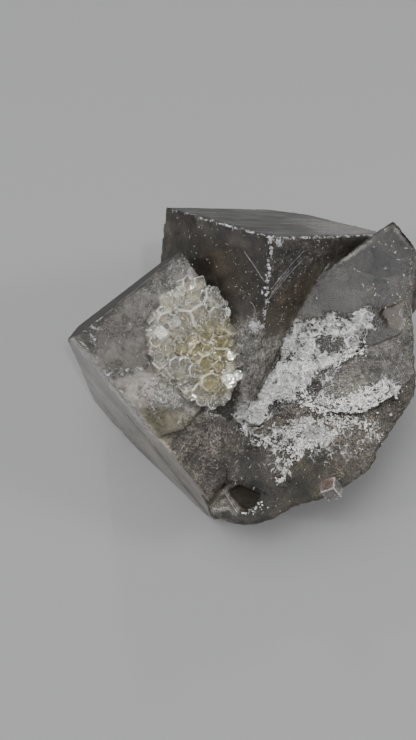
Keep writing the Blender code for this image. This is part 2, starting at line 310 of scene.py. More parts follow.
def patch(points, outline, soft):
    """1 well inside an outline and 0 well outside it, softly between."""
    x, z = points.T
    inside = np.zeros(len(points), bool)
    for (x0, z0), (x1, z1) in zip(outline, outline[1:] + outline[:1]):
        if z0 != z1:
            inside ^= ((z0 > z) != (z1 > z)) & (x < x0 + (z - z0) * (x1 - x0) / (z1 - z0))
    depth = line_distance(points, outline, True) * np.where(inside, 1, -1)
    return smoothstep(-soft, soft, depth)


def cloud(points, size, shift=0.0, octaves=3):
    """Soft seeded noise from about -1 to 1, whose lumps are about size across, in the points' unit."""
    offset = Vector((shift, shift * 1.7, shift * 0.6))
    return np.array([noise.fractal(Vector(point) / size + offset, 1.0, 2.0, octaves) for point in points])


# ---------------------------------------------------------------- floor, light and camera
FLOOR_WIDTH = 4  # in metres, as the places below are
FLOOR_GREY = (0.222, 0.222, 0.223, 1)
FLOOR_ROUGHNESS = 0.9
ROOM_GREY = (0.42, 0.43, 0.45, 1)
ROOM_BRIGHTNESS = 0.42
DAYLIGHT_FROM = (-8, -15, 0)  # its turn, in degrees
DAYLIGHT_SPREAD = 55
DAYLIGHT_POWER = 2.2
SOFTBOXES = (
    # name, place, height that it is aimed at, width, power
    ("soft_top", (-0.12, -0.06, 0.44), 0.01, 0.18, 0.9),
    ("soft_right", (0.36, -0.02, 0.26), 0.01, 0.12, 0.9),
    ("small_front", (0.08, -0.22, 0.40), 0.02, 0.02, 0.6),
    ("small_left", (-0.38, -0.10, 0.22), 0.02, 0.02, 0.5),
    ("small_back", (-0.10, 0.36, 0.30), 0.02, 0.02, 0.35),
)
CAMERA_PLACE = (-0.006644, -0.0505, 0.09388)
CAMERA_TILT = 30
CAMERA_LENS = 31.62


def set_stage():
    deselect_all()
    bpy.ops.mesh.primitive_plane_add(size=FLOOR_WIDTH, location=(0, 0, 0))
    floor = bpy.context.object
    floor.name = "floor"
    surface = bpy.data.materials.new("floor_paper")
    surface.use_nodes = True
    shader = surface.node_tree.nodes["Principled BSDF"]
    shader.inputs["Base Color"].default_value = FLOOR_GREY
    shader.inputs["Roughness"].default_value = FLOOR_ROUGHNESS
    floor.data.materials.append(surface)
    world = bpy.data.worlds.new("studio")
    world.use_nodes = True
    world.node_tree.nodes["Background"].inputs["Color"].default_value = ROOM_GREY
    world.node_tree.nodes["Background"].inputs["Strength"].default_value = ROOM_BRIGHTNESS
    bpy.context.scene.world = world


def add_lights():
    deselect_all()
    turn = [math.radians(angle) for angle in DAYLIGHT_FROM]
    bpy.ops.object.light_add(type="SUN", location=(-0.3, -0.15, 1.1), rotation=turn)
    daylight = bpy.context.object
    daylight.name = "daylight"
    daylight.data.energy = DAYLIGHT_POWER
    daylight.data.angle = math.radians(DAYLIGHT_SPREAD)
    for name, place_at, height, width, power in SOFTBOXES:
        deselect_all()
        bpy.ops.object.light_add(type="AREA", location=place_at)
        lamp = bpy.context.object
        lamp.name = name
        lamp.data.shape = "DISK"
        lamp.data.size = width
        lamp.data.energy = power
        aim = Vector((0, 0, height)) - Vector(place_at)
        lamp.rotation_euler = aim.to_track_quat("-Z", "Y").to_euler()


def add_camera():
    deselect_all()
    bpy.ops.object.camera_add(location=CAMERA_PLACE, rotation=(math.radians(CAMERA_TILT), 0, 0))
    camera = bpy.context.object
    camera.name = "camera"
    camera.data.sensor_width = 36
    camera.data.lens = CAMERA_LENS
    camera.data.clip_start = 0.001
    bpy.context.scene.camera = camera


# ---------------------------------------------------------------- where the surface changes, in mm
# On the tall crystal's left face these are Y and Z, on its right face X and Z, on its top X and Y, and on the
# other two crystals' fronts X and Z.
TALL_LEFT_FOOT = ((3.5, -11.3), (-0.4, -10.0), (-2.5, -19.8), (-0.6, -25.0), (1.3, -24.0), (4.5, -15.7))
TALL_LEFT_CRUMBS = ((2.5, -11.9), (1.5, -11.2), (-0.3, -10.1), (-0.7, -11.8), (0.4, -12.8), (2.1, -12.8))
TALL_LEFT_CORNER = ((20.1, 0.8), (14.5, -0.7), (14.1, -3.0), (20.4, -5.7))
TALL_LEFT_WARM = ((12.9, -3.2), (7.6, -2.7), (2.3, -7.2), (5.0, -9.3), (10.7, -5.6))
TALL_RIGHT_FOOT = (
    (-0.9, -11.9), (3.6, -13.7), (7.1, -12.7), (6.1, -14.7), (4.0, -18.7), (2.4, -22.4), (-1.5, -25.7),
)
TALL_RIGHT_RUST = (
    (0.8, -8.0), (5.1, -6.3), (10.2, -4.6), (11.9, -7.5), (8.5, -10.0), (5.9, -12.5), (0.9, -11.4),
)
TALL_RIGHT_ROUGH = ((0.3, -0.6), (5.7, -0.8), (12.1, -2.5), (8.0, -5.1), (4.2, -6.9), (0.3, -8.1))
# painted light: the tall crystal's top is made paler towards its right end
TALL_TOP_PAINTED_LIGHT = ((20.2, 9.4), (31.4, 9.4), (26.6, -0.9), (13.0, -1.6), (11.7, 0.9))

LEFT_FROST_TOP = ((-1.2, -3.8), (-0.9, 0.8), (2.6, 0.6), (3.3, -1.8), (2.6, -4.8), (0.6, -5.8))
LEFT_FROST_CORNER = ((-0.2, -18.1), (-0.3, -14.4), (0.1, -12.3), (1.5, -14.4), (2.6, -16.6), (2.8, -18.7))
LEFT_WHITE_LINE = ((5.6, -17.6), (7.6, -15.2), (8.4, -13.0), (8.8, -11.6))
LEFT_FROST_PATCH = (
    (10.2, -14.7), (10.8, -12.8), (14.1, -11.0), (15.8, -11.3), (15.6, -13.6), (12.7, -16.1), (10.8, -16.8),
)
LEFT_OLIVE = ((11.7, -17.3), (16.0, -13.3), (17.4, -13.1), (17.2, -16.0), (17.6, -18.5), (15.4, -19.1))
LEFT_LIGHT = (
    (7.2, -17.3), (8.2, -14.9), (9.6, -12.6), (12.3, -11.9), (14.3, -11.9), (14.1, -13.8), (12.5, -15.2),
    (11.5, -17.2),
)
LEFT_ROUGH = (
    (17.1, -12.6), (23.8, -6.3), (28.5, -4.9), (32.3, -6.8), (33.3, -11.4), (30.3, -15.3), (24.0, -18.5),
    (17.5, -18.6), (17.2, -15.4),
)
# dark purple-brown, and painted shade where the front steps down to the ledge
LEFT_DARK = (
    (16.4, -11.0), (17.4, -8.7), (18.6, -5.0), (21.1, -5.0), (24.4, -7.3), (22.2, -8.9), (19.6, -10.4),
)

CRUST_OUTLINE = (
    (3.8, -0.9), (4.8, -0.3), (6.3, 0.4), (9.0, 0.3), (12.3, -0.9), (14.7, -2.2), (17.0, -3.9),
    (17.6, -5.2), (18.6, -6.5), (18.9, -8.4), (17.0, -10.2), (15.1, -11.6), (13.3, -11.0), (11.5, -12.1),
    (9.8, -12.5), (8.2, -11.8), (6.6, -11.1), (4.8, -9.3), (4.0, -7.8), (3.3, -6.0), (3.1, -4.6),
    (3.6, -2.4),
)
CRUST_OCHRE = (
    (8.6, -5.6), (11.1, -1.3), (13.8, -2.2), (17.5, -6.0), (16.0, -9.1), (13.1, -8.5), (9.5, -8.5),
)

RIGHT_CRUST = (
    (3.9, -17.9), (5.1, -17.3), (5.3, -15.8), (5.3, -14.3), (7.0, -13.4), (7.5, -12.5), (7.7, -11.0),
    (8.3, -9.5), (9.7, -10.0), (10.8, -11.5), (11.1, -13.8), (12.2, -13.7), (12.4, -15.8), (12.4, -19.2),
    (11.8, -21.5), (11.9, -24.1), (12.5, -26.2), (11.3, -27.3), (11.2, -30.5), (9.0, -30.0), (7.5, -26.5),
    (6.0, -22.6), (4.0, -19.7),
)
RIGHT_CRUST_GAP = (
    (7.5, -18.2), (7.3, -16.8), (8.5, -15.5), (9.7, -15.3), (10.4, -16.2), (9.7, -17.4), (8.8, -18.3),
)
RIGHT_VEINS = (((5.7, -11.2), (6.0, -8.1), (7.1, -4.6)), ((2.0, -9.5), (4.6, -7.2), (9.0, -2.6)))
RIGHT_SMOKE = ((3.0, -5.9), (4.0, -2.8), (6.4, -3.2), (7.6, -5.1), (6.2, -7.0), (4.2, -7.4))
RIGHT_TAN = ((9.4, -9.0), (9.3, -6.3), (10.3, -6.1), (12.4, -7.8), (12.1, -9.4), (11.1, -9.9))
STEP_CRUST = (
    (9.0, -27.5), (10.5, -23.5), (11.1, -20.9), (12.1, -18.4), (13.2, -18.0), (14.7, -18.0), (16.1, -16.5),
    (16.0, -14.9), (16.7, -13.3), (17.9, -12.6), (19.6, -13.0), (19.6, -16.0), (19.1, -18.3), (17.6, -20.9),
    (16.1, -22.3), (14.1, -24.7), (12.9, -26.6), (12.6, -31.8), (10.2, -33.2),
)
STEP_GREY = ((12.6, -18.7), (14.1, -17.2), (16.8, -16.0), (17.6, -17.2), (15.3, -20.0), (13.0, -21.3))
MASS_LACE = (
    (11.1, -33.2), (13.4, -31.4), (13.1, -28.2), (14.0, -25.6), (16.9, -23.6), (19.4, -24.2), (18.0, -27.6),
    (16.8, -29.5), (19.2, -30.9), (20.4, -32.7), (18.8, -33.5), (16.1, -32.4), (14.8, -32.3), (12.5, -33.9),
)
MASS_THIN = (
    (14.0, -25.6), (17.8, -20.9), (20.0, -16.9), (22.9, -18.7), (23.4, -20.7), (22.9, -24.7), (20.1, -28.3),
    (17.5, -28.7),
)
MASS_OLIVE = (
    (18.6, -30.5), (20.4, -26.9), (23.1, -24.8), (24.8, -27.0), (23.8, -31.9), (22.2, -36.5), (19.4, -34.6),
)
MASS_FACET = ((16.0, -42.1), (16.3, -39.8), (18.4, -39.3), (20.4, -39.1), (19.4, -41.6), (18.1, -42.8))
MASS_CRACK = ((15.2, -42.0), (16.3, -39.4), (17.2, -37.6), (20.1, -35.6))
MASS_BROWN_AND_SHADE = (
    ((11.7, -35.6), (13.5, -33.8), (15.9, -33.0), (17.2, -33.6), (18.4, -34.9), (17.5, -36.2), (15.0, -36.7)),
    ((19.2, -31.6), (21.2, -29.9), (22.8, -27.8), (23.5, -28.8), (22.5, -31.7), (21.7, -34.3), (20.2, -34.5)),
    ((18.5, -27.5), (20.0, -25.5), (21.5, -26.0), (21.0, -28.2), (19.6, -29.0)),
    # the last, round the hollow's mouth, is painted shade as well as brown
    ((16.2, -39.6), (16.9, -37.4), (20.1, -35.0), (21.2, -36.8), (20.4, -39.0), (17.9, -39.6)),
)
CREVICE_CRUST = ((8.4, -31.8), (9.5, -28.6), (11.5, -29.0), (12.5, -31.4), (11.8, -33.2), (9.9, -33.2))
MASS_CORNER = ((14.1, -11.2), (14.2, -9.3), (15.6, -9.0), (17.0, -9.4), (16.7, -10.8), (15.6, -11.3))


# ---------------------------------------------------------------- dressing the surface
PLAIN_SKIN = {"pale": 0.11, "frost": 0.0, "grit": 0.35, "warm": 0.3, "dull": 0.0, "ochre": 0.0, "lift": 0.0}
# What is kept on the points, and how many rounds each is softened.
KEPT_VALUES = {"pale": 1, "frost": 1, "grit": 2, "warm": 3, "dull": 1, "edge": 0, "ochre": 2}
FLAT = 0.985  # how well a normal follows a crystal's axis where the surface is flat
SAME_FACE = 0.9  # how well it follows the axis of the crystal that the face belongs to
BASE_HEIGHT = 0.2  # below this the skin keeps its shape, to rest on
FAR = 9  # past the reach of the chipped edges
STEPS_ACROSS = (-0.567, 0.824)  # the way across the growth steps on the tall crystal's right face
STEPS_SPACING = 0.8
LEDGES_RISE = (0.42, 0.30, 0.34)  # ledges a mm along each axis, on the breaks
# the druse's pale crust, made paler still as painted light against the shade that the grains cast on it
UNDER_DRUSE_PALE_AND_LIGHT = 0.82
# the hollow's brown, darkened by painted shade
HOLLOW_SHADED_PALE = 0.02


class Coat:
    """The body while it is dressed: its faces, the clouds that vary them, and what each point is given."""

    def __init__(self, body):
        self.skin = Surface(body.data)
        self.grown = self.skin.points / MM
        self.fine = cloud(self.grown, 0.9, 3.1)
        self.medium = cloud(self.grown, 2.4, 7.7)
        self.broad = cloud(self.grown, 7.0, 1.3)
        self.wander = np.column_stack((cloud(self.grown, 1.5, 11.0), cloud(self.grown, 1.5, 17.3)))
        for name, value in PLAIN_SKIN.items():
            setattr(self, name, np.full(len(self.grown), value))
        self.find_faces()

    def find_faces(self):
        """Which points are on which face. A flat place along one crystal's faces is left to that crystal."""
        self.tall, tall_way = self.skin.seen_from(TALL)
        self.left, left_way = self.skin.seen_from(LEFT)
        self.right, right_way = self.skin.seen_from(RIGHT)
        aligned = [abs(way).max(axis=1) for way in (tall_way, left_way, right_way)]
        flatness = np.maximum.reduce(aligned)
        of_tall, of_left, of_right = [(share > SAME_FACE) | (flatness < FLAT) for share in aligned]

        def face(of_crystal, distance, outward, reach=0.3):
            """Points within reach of a plane that look out of it."""
            return of_crystal & (abs(distance) < reach) & (outward > 0.5)

        self.tall_left = face(of_tall, self.tall[:, 0], -tall_way[:, 0])
        self.tall_right = face(of_tall, self.tall[:, 1], -tall_way[:, 1]) & ~self.tall_left
        self.tall_top = face(of_tall, self.tall[:, 2], tall_way[:, 2])
        deep, out = self.left[:, 1], -left_way[:, 1]
        self.left_front = face(of_left, deep, out)
        self.left_low = face(of_left, deep - LEDGE_HEIGHT, out) & ~self.left_front
        self.left_side = face(of_left, self.left[:, 2] + LEFT_SIZE[2], -left_way[:, 2], 0.4)
        self.left_top = face(of_left, self.left[:, 0], -left_way[:, 0], 0.4) & ~self.tall_left
        deep, self.out = self.right[:, 1], -right_way[:, 1]
        self.facing = of_right & (self.out > 0.5)
        self.right_front = face(of_right, deep, self.out, 0.35)
        self.step = face(of_right, deep - STEP_HEIGHT, self.out, 0.35) & ~self.right_front
        self.mass = face(of_right, deep - MASS_LEVEL, self.out, 0.4) & ~self.step
        self.mass &= ~(self.tall_left | self.tall_right | self.left_front | self.left_low)
        front = self.tall_left | self.tall_right | self.tall_top | self.left_front | self.left_low
        front |= self.left_side | self.left_top | self.right_front | self.step | self.mass
        self.hidden = (flatness > FLAT) & ~front
        self.broken = ~(front | self.hidden)
        self.step |= face(of_right, deep - MERGED_LEVEL, self.out) & ~self.right_front

    def turn_to(self, face, plane):
        """Take up a face, with its points in the plane that the outlines on it are given in."""
        self.face, self.plane = face, plane

    def on(self, outline, soft, ragged=0.9):
        """1 inside a ragged outline on this face, and 0 outside it."""
        return self.face * patch(self.plane + ragged * self.wander, outline, soft)

    def near(self, line, far, close):
        """1 along a line on this face, falling to 0 away from it."""
        return self.face * smoothstep(far, close, line_distance(self.plane, line))

    def start(self, **values):
        """What this face has before anything is laid on it."""
        for name, value in values.items():
            getattr(self, name)[self.face] = value

    def lay(self, mask=1, **amounts):
        """Add so much of each value on this face, where the mask is."""
        for name, amount in amounts.items():
            setattr(self, name, getattr(self, name) + self.face * mask * amount)

    def wash(self, outline, soft, **amounts):
        """Add so much of each value inside a ragged outline."""
        self.lay(self.on(outline, soft), **amounts)

    def fade(self, mask, **shares):
        """Take away a share of each value on this face, where the mask is."""
        for name, share in shares.items():
            setattr(self, name, getattr(self, name) * (1 - share * self.face * mask))

    def finish(self, slide):
        """Give the skin its relief, and leave on its points what the material reads."""
        self.lift[self.grown[:, 2] < BASE_HEIGHT] = 0
        self.edge = edge_closeness(self.tall)
        self.lift -= self.edge * 0.25 * smoothstep(0.0, 0.6, self.fine)
        self.skin.move(self.skin.soften(self.lift, 1), slide)
        for name, rounds in KEPT_VALUES.items():
            self.skin.keep(name, self.skin.soften(getattr(self, name), rounds))


def dress_tall(coat):
    """The tall crystal: dark clean faces, sugary at their feet, and a streaked top with painted light towards
    its right end.
    """
    fine, medium, broad = coat.fine, coat.medium, coat.broad
    coat.turn_to(coat.tall_left, coat.tall[:, [1, 2]])
    foot = coat.on(TALL_LEFT_FOOT, 1.2)
    low = smoothstep(-17, -20, coat.plane[:, 1])
    coat.start(pale=0.036, grit=0.2)
    coat.lay(pale=0.03 * smoothstep(0.1, 0.7, medium) + 0.012 * broad, lift=0.03 * broad)
    coat.lay(foot, pale=0.17 * (0.8 + 0.6 * fine) + 0.06 * low, grit=0.45, warm=-0.3, lift=0.10 * fine)
    coat.wash(TALL_LEFT_CORNER, 1.5, pale=0.015)
    coat.wash(TALL_LEFT_WARM, 1.5, warm=0.6)
    coat.wash(TALL_LEFT_CRUMBS, 0.4, frost=0.30)

    coat.turn_to(coat.tall_right, coat.tall[:, [0, 2]])
    foot = coat.on(TALL_RIGHT_FOOT, 1.2)
    rough = coat.on(TALL_RIGHT_ROUGH, 1.0)
    steps = (coat.plane @ np.array(STEPS_ACROSS) / STEPS_SPACING + 0.5 * medium) % 1
    brink = smoothstep(0.8, 0.98, steps) * smoothstep(-0.1, 0.5, fine)
    coat.start(pale=0.055, grit=0.4)
    coat.lay(pale=0.035 * smoothstep(0.0, 0.7, medium), lift=0.04 * medium)
    coat.lay(foot, pale=0.20 * (0.8 + 0.6 * fine), grit=0.25, warm=-0.2, lift=0.08 * fine)
    coat.lay(rough, pale=0.16 * brink, grit=0.5, lift=0.16 * steps + 0.08 * fine)
    coat.wash(TALL_RIGHT_RUST, 1.5, warm=0.7)

    coat.turn_to(coat.tall_top, coat.tall[:, [0, 1]])
    streaks = 0.6 * cloud(coat.tall / (9.0, 1.6, 1.0), 1.0, 5.5)
    streaks += 0.5 * cloud(coat.tall / (3.5, 0.5, 1.0), 1.0, 9.5, 2)
    # painted light: paler towards the top's right end
    bright = coat.on(TALL_TOP_PAINTED_LIGHT, 4.5, 2.0)
    coat.start(pale=0.022, grit=0.1)
    coat.lay(pale=0.012 * streaks, lift=0.05 * streaks)
    coat.lay(dull=np.clip(0.50 + 0.35 * streaks - 0.3 * bright, 0, 1))
    coat.lay(bright, pale=0.08)


def dress_left(coat):
    """The left crystal: a mottled grey front with a frosty corner, and a dark rough lower right."""
    fine, medium, broad = coat.fine, coat.medium, coat.broad
    coat.turn_to(coat.left_front | coat.left_low, coat.left[:, [0, 2]])
    dark = coat.on(LEFT_DARK, 0.7)
    line = smoothstep(0.7, 0.1, line_distance(coat.plane + 0.5 * coat.wander, LEFT_WHITE_LINE))
    coat.start(pale=0.124, grit=0.15, warm=0.12)
    coat.lay(pale=0.045 * broad + 0.045 * medium, lift=0.05 * medium + 0.02 * fine)
    coat.wash(LEFT_ROUGH, 0.8, pale=-0.034, grit=0.75, warm=0.25, lift=0.20 * fine + 0.15 * medium)
    coat.wash(LEFT_OLIVE, 1.2, pale=0.06, grit=-0.12, ochre=0.45)
    coat.wash(LEFT_LIGHT, 1.0, pale=0.28)
    coat.wash(LEFT_FROST_PATCH, 0.9, pale=0.06, frost=0.42 + 0.2 * fine, lift=0.10 * fine)
    coat.wash(LEFT_FROST_TOP, 1.0, pale=-0.015, frost=0.26 + 0.2 * fine, lift=0.10 * fine)
    coat.wash(LEFT_FROST_CORNER, 0.8, frost=0.38 + 0.2 * fine)
    coat.lay(line, frost=0.50)
    # purple-brown colour, and painted shade of the recess at the ledge
    coat.fade(dark, pale=0.72)
    coat.lay(dark, grit=-0.3, warm=0.25)

    coat.turn_to(coat.left_front, coat.plane)
    under = coat.on(CRUST_OUTLINE, 0.4)
    # pale crust under the druse, with painted light added
    coat.lay(under, pale=UNDER_DRUSE_PALE_AND_LIGHT - coat.pale)
    coat.lay(under, ochre=0.35 + 0.65 * patch(coat.plane, CRUST_OCHRE, 1.5))
    coat.fade(under, grit=0.7, frost=1)
    coat.lay(smoothstep(0.8, 0.2, abs(coat.left[:, 0]) + 0.3 * medium), pale=-0.05)


def dress_left_sides(coat):
    """The left crystal's dull top, and its lower side: a painted highlight by the front edge and a painted
    sheen, with dark bands behind.
    """
    coat.turn_to(coat.left_top, coat.left[:, [1, 2]])
    coat.start(pale=0.03, dull=0.9)

    coat.turn_to(coat.left_side, coat.left[:, [0, 1]])
    fine, broad = coat.fine, coat.broad
    along, deep = coat.left[:, 0], coat.left[:, 1] + 0.5 * broad
    streaks = cloud(np.column_stack((along / 14.0, deep / 3.0, coat.left[:, 2] / 9.0)), 1.0, 2.5, 2)
    # painted sheen, and a painted highlight along the front edge
    sheen = smoothstep(2.2, 0.2, abs(deep - 2.6 - broad)) * smoothstep(21, 12, along)
    edge_highlight = smoothstep(1.5, 0.2, abs(deep - 0.8)) * smoothstep(0.5, 3, along) * smoothstep(24, 15, along)
    shade = 0.9 * smoothstep(1.4, 0.3, deep) * (smoothstep(7, 13, along) + smoothstep(4, 1, along))
    shade += 0.6 * smoothstep(2.0, 0.2, abs(deep - 5.5 - 0.1 * along - broad)) * smoothstep(4, 15, along)
    shade = np.clip(shade + 0.4 * smoothstep(11, 18, deep) + 0.25 * streaks, 0, 1) * (1 - edge_highlight)
    coat.start(pale=0.28, grit=0.04, warm=0.1)
    coat.lay(edge_highlight, pale=0.45 * (0.8 + 0.4 * fine), frost=smoothstep(19, 11, along) * (0.85 + 0.3 * fine))
    coat.lay(pale=0.05 * streaks + 0.22 * sheen - 0.12 * shade, dull=0.75 * shade, lift=0.05 * streaks)
    coat.lay(smoothstep(16, 24, along), pale=-0.05)
    coat.lay(smoothstep(10, 20, along), warm=0.3)


def dress_right(coat):
    """The right crystal: clean and smoky at its top, then covered by the white crust."""
    fine, medium, broad = coat.fine, coat.medium, coat.broad
    coat.turn_to(coat.right_front, coat.right[:, [0, 2]])
    x, z = coat.plane.T
    crust = coat.on(RIGHT_CRUST, 1.1) * (1 - 0.70 * coat.on(RIGHT_CRUST_GAP, 1.2))
    coat.start(pale=0.032, grit=0.34)
    coat.lay(pale=0.03 * medium + 0.02 * broad, lift=0.05 * medium)
    coat.wash(RIGHT_SMOKE, 1.2, pale=-0.018)
    coat.wash(RIGHT_TAN, 0.4, pale=0.018, grit=-0.4, warm=0.7)
    coat.lay(crust, frost=np.clip(0.84 + 0.28 * medium + 0.20 * broad, 0.5, 0.97))
    coat.lay(crust, lift=0.12 + 0.22 * fine + 0.14 * medium)
    coat.lay(coat.near(RIGHT_MEETS_TALL[:6], 0.9, 0.2), frost=0.30 * smoothstep(-18, -20, z), lift=0.15)
    for rim, reach in ((x, smoothstep(-12, -8, z)), (-z, smoothstep(13, 10, x))):
        rim = rim + 0.12 * medium
        coat.lay(reach, pale=0.17 * smoothstep(0.30, 0.15, abs(rim - 0.55)) * smoothstep(-0.4, 0.4, fine))
        coat.lay(reach, pale=-0.03 * (smoothstep(0.3, 0.1, rim) + smoothstep(0.25, 0.1, abs(rim - 0.95))))
    for vein in RIGHT_VEINS:
        near = smoothstep(0.3, 0.05, line_distance(coat.plane + 0.6 * coat.wander, vein))
        coat.lay(near, pale=0.10 * smoothstep(-0.5, 0.3, fine), lift=-0.05)


def dress_step(coat):
    """The step below the right crystal's front, and the crests of the two ridges."""
    fine, medium = coat.fine, coat.medium
    coat.turn_to(coat.step, coat.right[:, [0, 2]])
    covered, grey = coat.on(STEP_CRUST, 1.0), coat.on(STEP_GREY, 1.0)
    coat.start(pale=0.10, grit=0.6, warm=0.2)
    coat.lay(pale=0.02 * medium, lift=0.12 * medium)
    coat.lay(covered, frost=np.clip(0.66 + 0.35 * medium, 0.3, 0.9), lift=0.10 + 0.22 * fine)
    coat.lay(grey, pale=0.08, frost=-0.35 * covered)
    coat.turn_to(coat.facing, coat.plane)
    for ridge, level in ((UPPER_RIDGE[2:], 0.0), (LOWER_RIDGE, STEP_HEIGHT)):
        crest = coat.near(ridge, 1.5, 0.2) * (abs(coat.right[:, 1] - level) < 0.5)
        white = 0.30 * smoothstep(-14, -18, coat.plane[:, 1] + 3 * level)
        coat.lay(crest, frost=white, lift=0.05 + 0.25 * np.abs(fine))


def slide_to_ridges(coat):
    """How far each point slides out, in mm.

    Where the two ridges run together, and where they die out, what lies under them rises to meet them.
    """
    plane, deep = coat.right[:, [0, 2]], coat.right[:, 1]
    beside = ~(coat.tall_left | coat.tall_right | coat.left_front | coat.left_low | coat.left_side)
    beside &= (deep > -0.2) & (deep < 2.5) & (coat.out > -0.2)
    merge = smoothstep(4.5, 0.4, line_distance(plane, RIDGES_MERGE, True)) * smoothstep(-20, -24, plane[:, 1])
    upper = np.minimum(line_distance(plane, UPPER_RIDGE[4:]) + 1.2, line_distance(plane, UPPER_RIDGE[:4]))
    upper = smoothstep(4.5, 0.4, upper) * np.clip(deep / STEP_HEIGHT, 0, 1) * (deep < 1.35)
    lower = smoothstep(3.5, 0.4, line_distance(plane, LOWER_RIDGE[:2]))
    lower = lower * np.clip(deep / STEP_HEIGHT - 1, 0, 1)
    rise = 1.45 * merge * np.clip((deep - MERGED_LEVEL) / 1.55, 0, 1)
    rise = np.maximum.reduce([rise, 0.85 * upper, 0.85 * lower]) * beside
    return np.outer(coat.skin.soften(rise, 1), RIGHT.to_3x3().normalized() @ Vector((0, -1, 0)))


def dress_mass(coat):
    """The broken mass: brown and dark, with lacy crust over it and a clean facet at its foot."""
    fine, medium, broad = coat.fine, coat.medium, coat.broad
    coat.turn_to(coat.mass, coat.right[:, [0, 2]])
    facet = coat.on(MASS_FACET, 0.5)
    coat.start(pale=0.053, grit=0.8, warm=0.55)
    coat.lay(pale=0.03 * medium + 0.02 * broad)
    coat.lay(lift=(0.22 * medium + 0.12 * fine) * (1 - 0.7 * facet))
    coat.wash(MASS_OLIVE, 1.0, pale=-0.012, warm=0.12, ochre=0.35)
    coat.wash(MASS_THIN, 1.5, pale=0.05, frost=0.39)
    coat.lay(facet, pale=0.035, grit=-0.74, warm=-0.3, ochre=0.3)
    # brown patches; the last one is also painted shade round the hollow
    for outline in MASS_BROWN_AND_SHADE:
        coat.fade(coat.on(outline, 1.0, 1.2), pale=0.62)
    coat.wash(MASS_LACE, 1.0, pale=0.025, frost=0.51, lift=0.05 + 0.15 * fine)
    coat.wash(MASS_CORNER, 0.6, frost=0.30)
    coat.turn_to(coat.facing, coat.plane)
    coat.lay(coat.near(MASS_CRACK, 0.5, 0.15) * smoothstep(0.4, 0.9, coat.right[:, 1]), pale=-0.04, lift=-0.2)
    coat.turn_to(coat.mass, coat.plane)
    coat.fade(smoothstep(-33, -37, coat.plane[:, 1]) * (1 - facet), pale=0.45)


def dress_back(coat):
    """The sides and back: flat crystal faces with low growth terraces, and breaks with ledges and ripples."""
    fine, medium, broad = coat.fine, coat.medium, coat.broad
    terraces = (2.6 * broad + 0.35 * medium) % 1
    brink = smoothstep(0.86, 0.99, terraces) * smoothstep(-0.2, 0.4, fine)
    coat.turn_to(coat.hidden, coat.grown)
    coat.start(pale=0.085, grit=0.16, warm=0.35)
    coat.lay(pale=0.035 * broad + 0.03 * medium + 0.10 * brink, lift=0.16 * terraces + 0.03 * medium)
    ledges = (coat.grown @ np.array(LEDGES_RISE) + 0.5 * broad + 0.25 * medium) % 1
    brink = smoothstep(0.80, 0.98, ledges) * smoothstep(-0.2, 0.5, fine)
    coat.turn_to(coat.broken, coat.grown)
    coat.start(pale=0.075, grit=0.4, warm=0.4, dull=0.1)
    coat.lay(pale=0.045 * medium + 0.14 * brink, lift=0.22 * ledges + 0.20 * medium + 0.06 * fine)


def dress_hollow(coat):
    """The hollow near the foot, brown and dull with painted shade in it, and the crust in the angle where all
    three crystals meet.
    """
    deep = coat.right[:, 1]
    coat.turn_to(np.full(len(deep), True), coat.right[:, [0, 2]])
    sunk = patch(coat.plane, HOLLOW_MOUTH, 0.3) * smoothstep(2.1, 2.5, deep) * smoothstep(5.0, 4.2, deep)
    # painted shade: the hollow is darkened nearly to black, with a brown tint
    coat.lay(sunk, pale=HOLLOW_SHADED_PALE - coat.pale, warm=1.0, dull=1.8)
    coat.fade(sunk, grit=0.6, frost=1)
    coat.turn_to((abs(deep - 1.5) < 3.5) & (coat.out > -0.3), coat.plane)
    coat.wash(CREVICE_CRUST, 0.8, pale=0.06, frost=0.66)


def dress_body(body):
    """Give the body its relief, and leave on its points how pale, warm, frosted and gritty each place is."""
    coat = Coat(body)
    for dress in (dress_tall, dress_left, dress_left_sides, dress_right, dress_step, dress_mass, dress_back):
        dress(coat)
    dress_hollow(coat)
    coat.finish(slide_to_ridges(coat))


def edge_closeness(tall):
    """1 on the tall crystal's front edges, falling to 0 within three quarters of a millimetre."""
    tall_x, tall_y, tall_z = tall.T
    away = np.minimum.reduce([
        np.hypot(tall_x, tall_y) + FAR * (tall_z > 0.3) + 0.4 * (tall_z < -0.6) + FAR * (tall_z < -11),
        np.hypot(tall_x, tall_z) + FAR * (tall_y < -0.3),
        np.hypot(tall_y, tall_z) + FAR * (tall_x < -0.3),
    ])
    return smoothstep(0.75, 0.1, away)


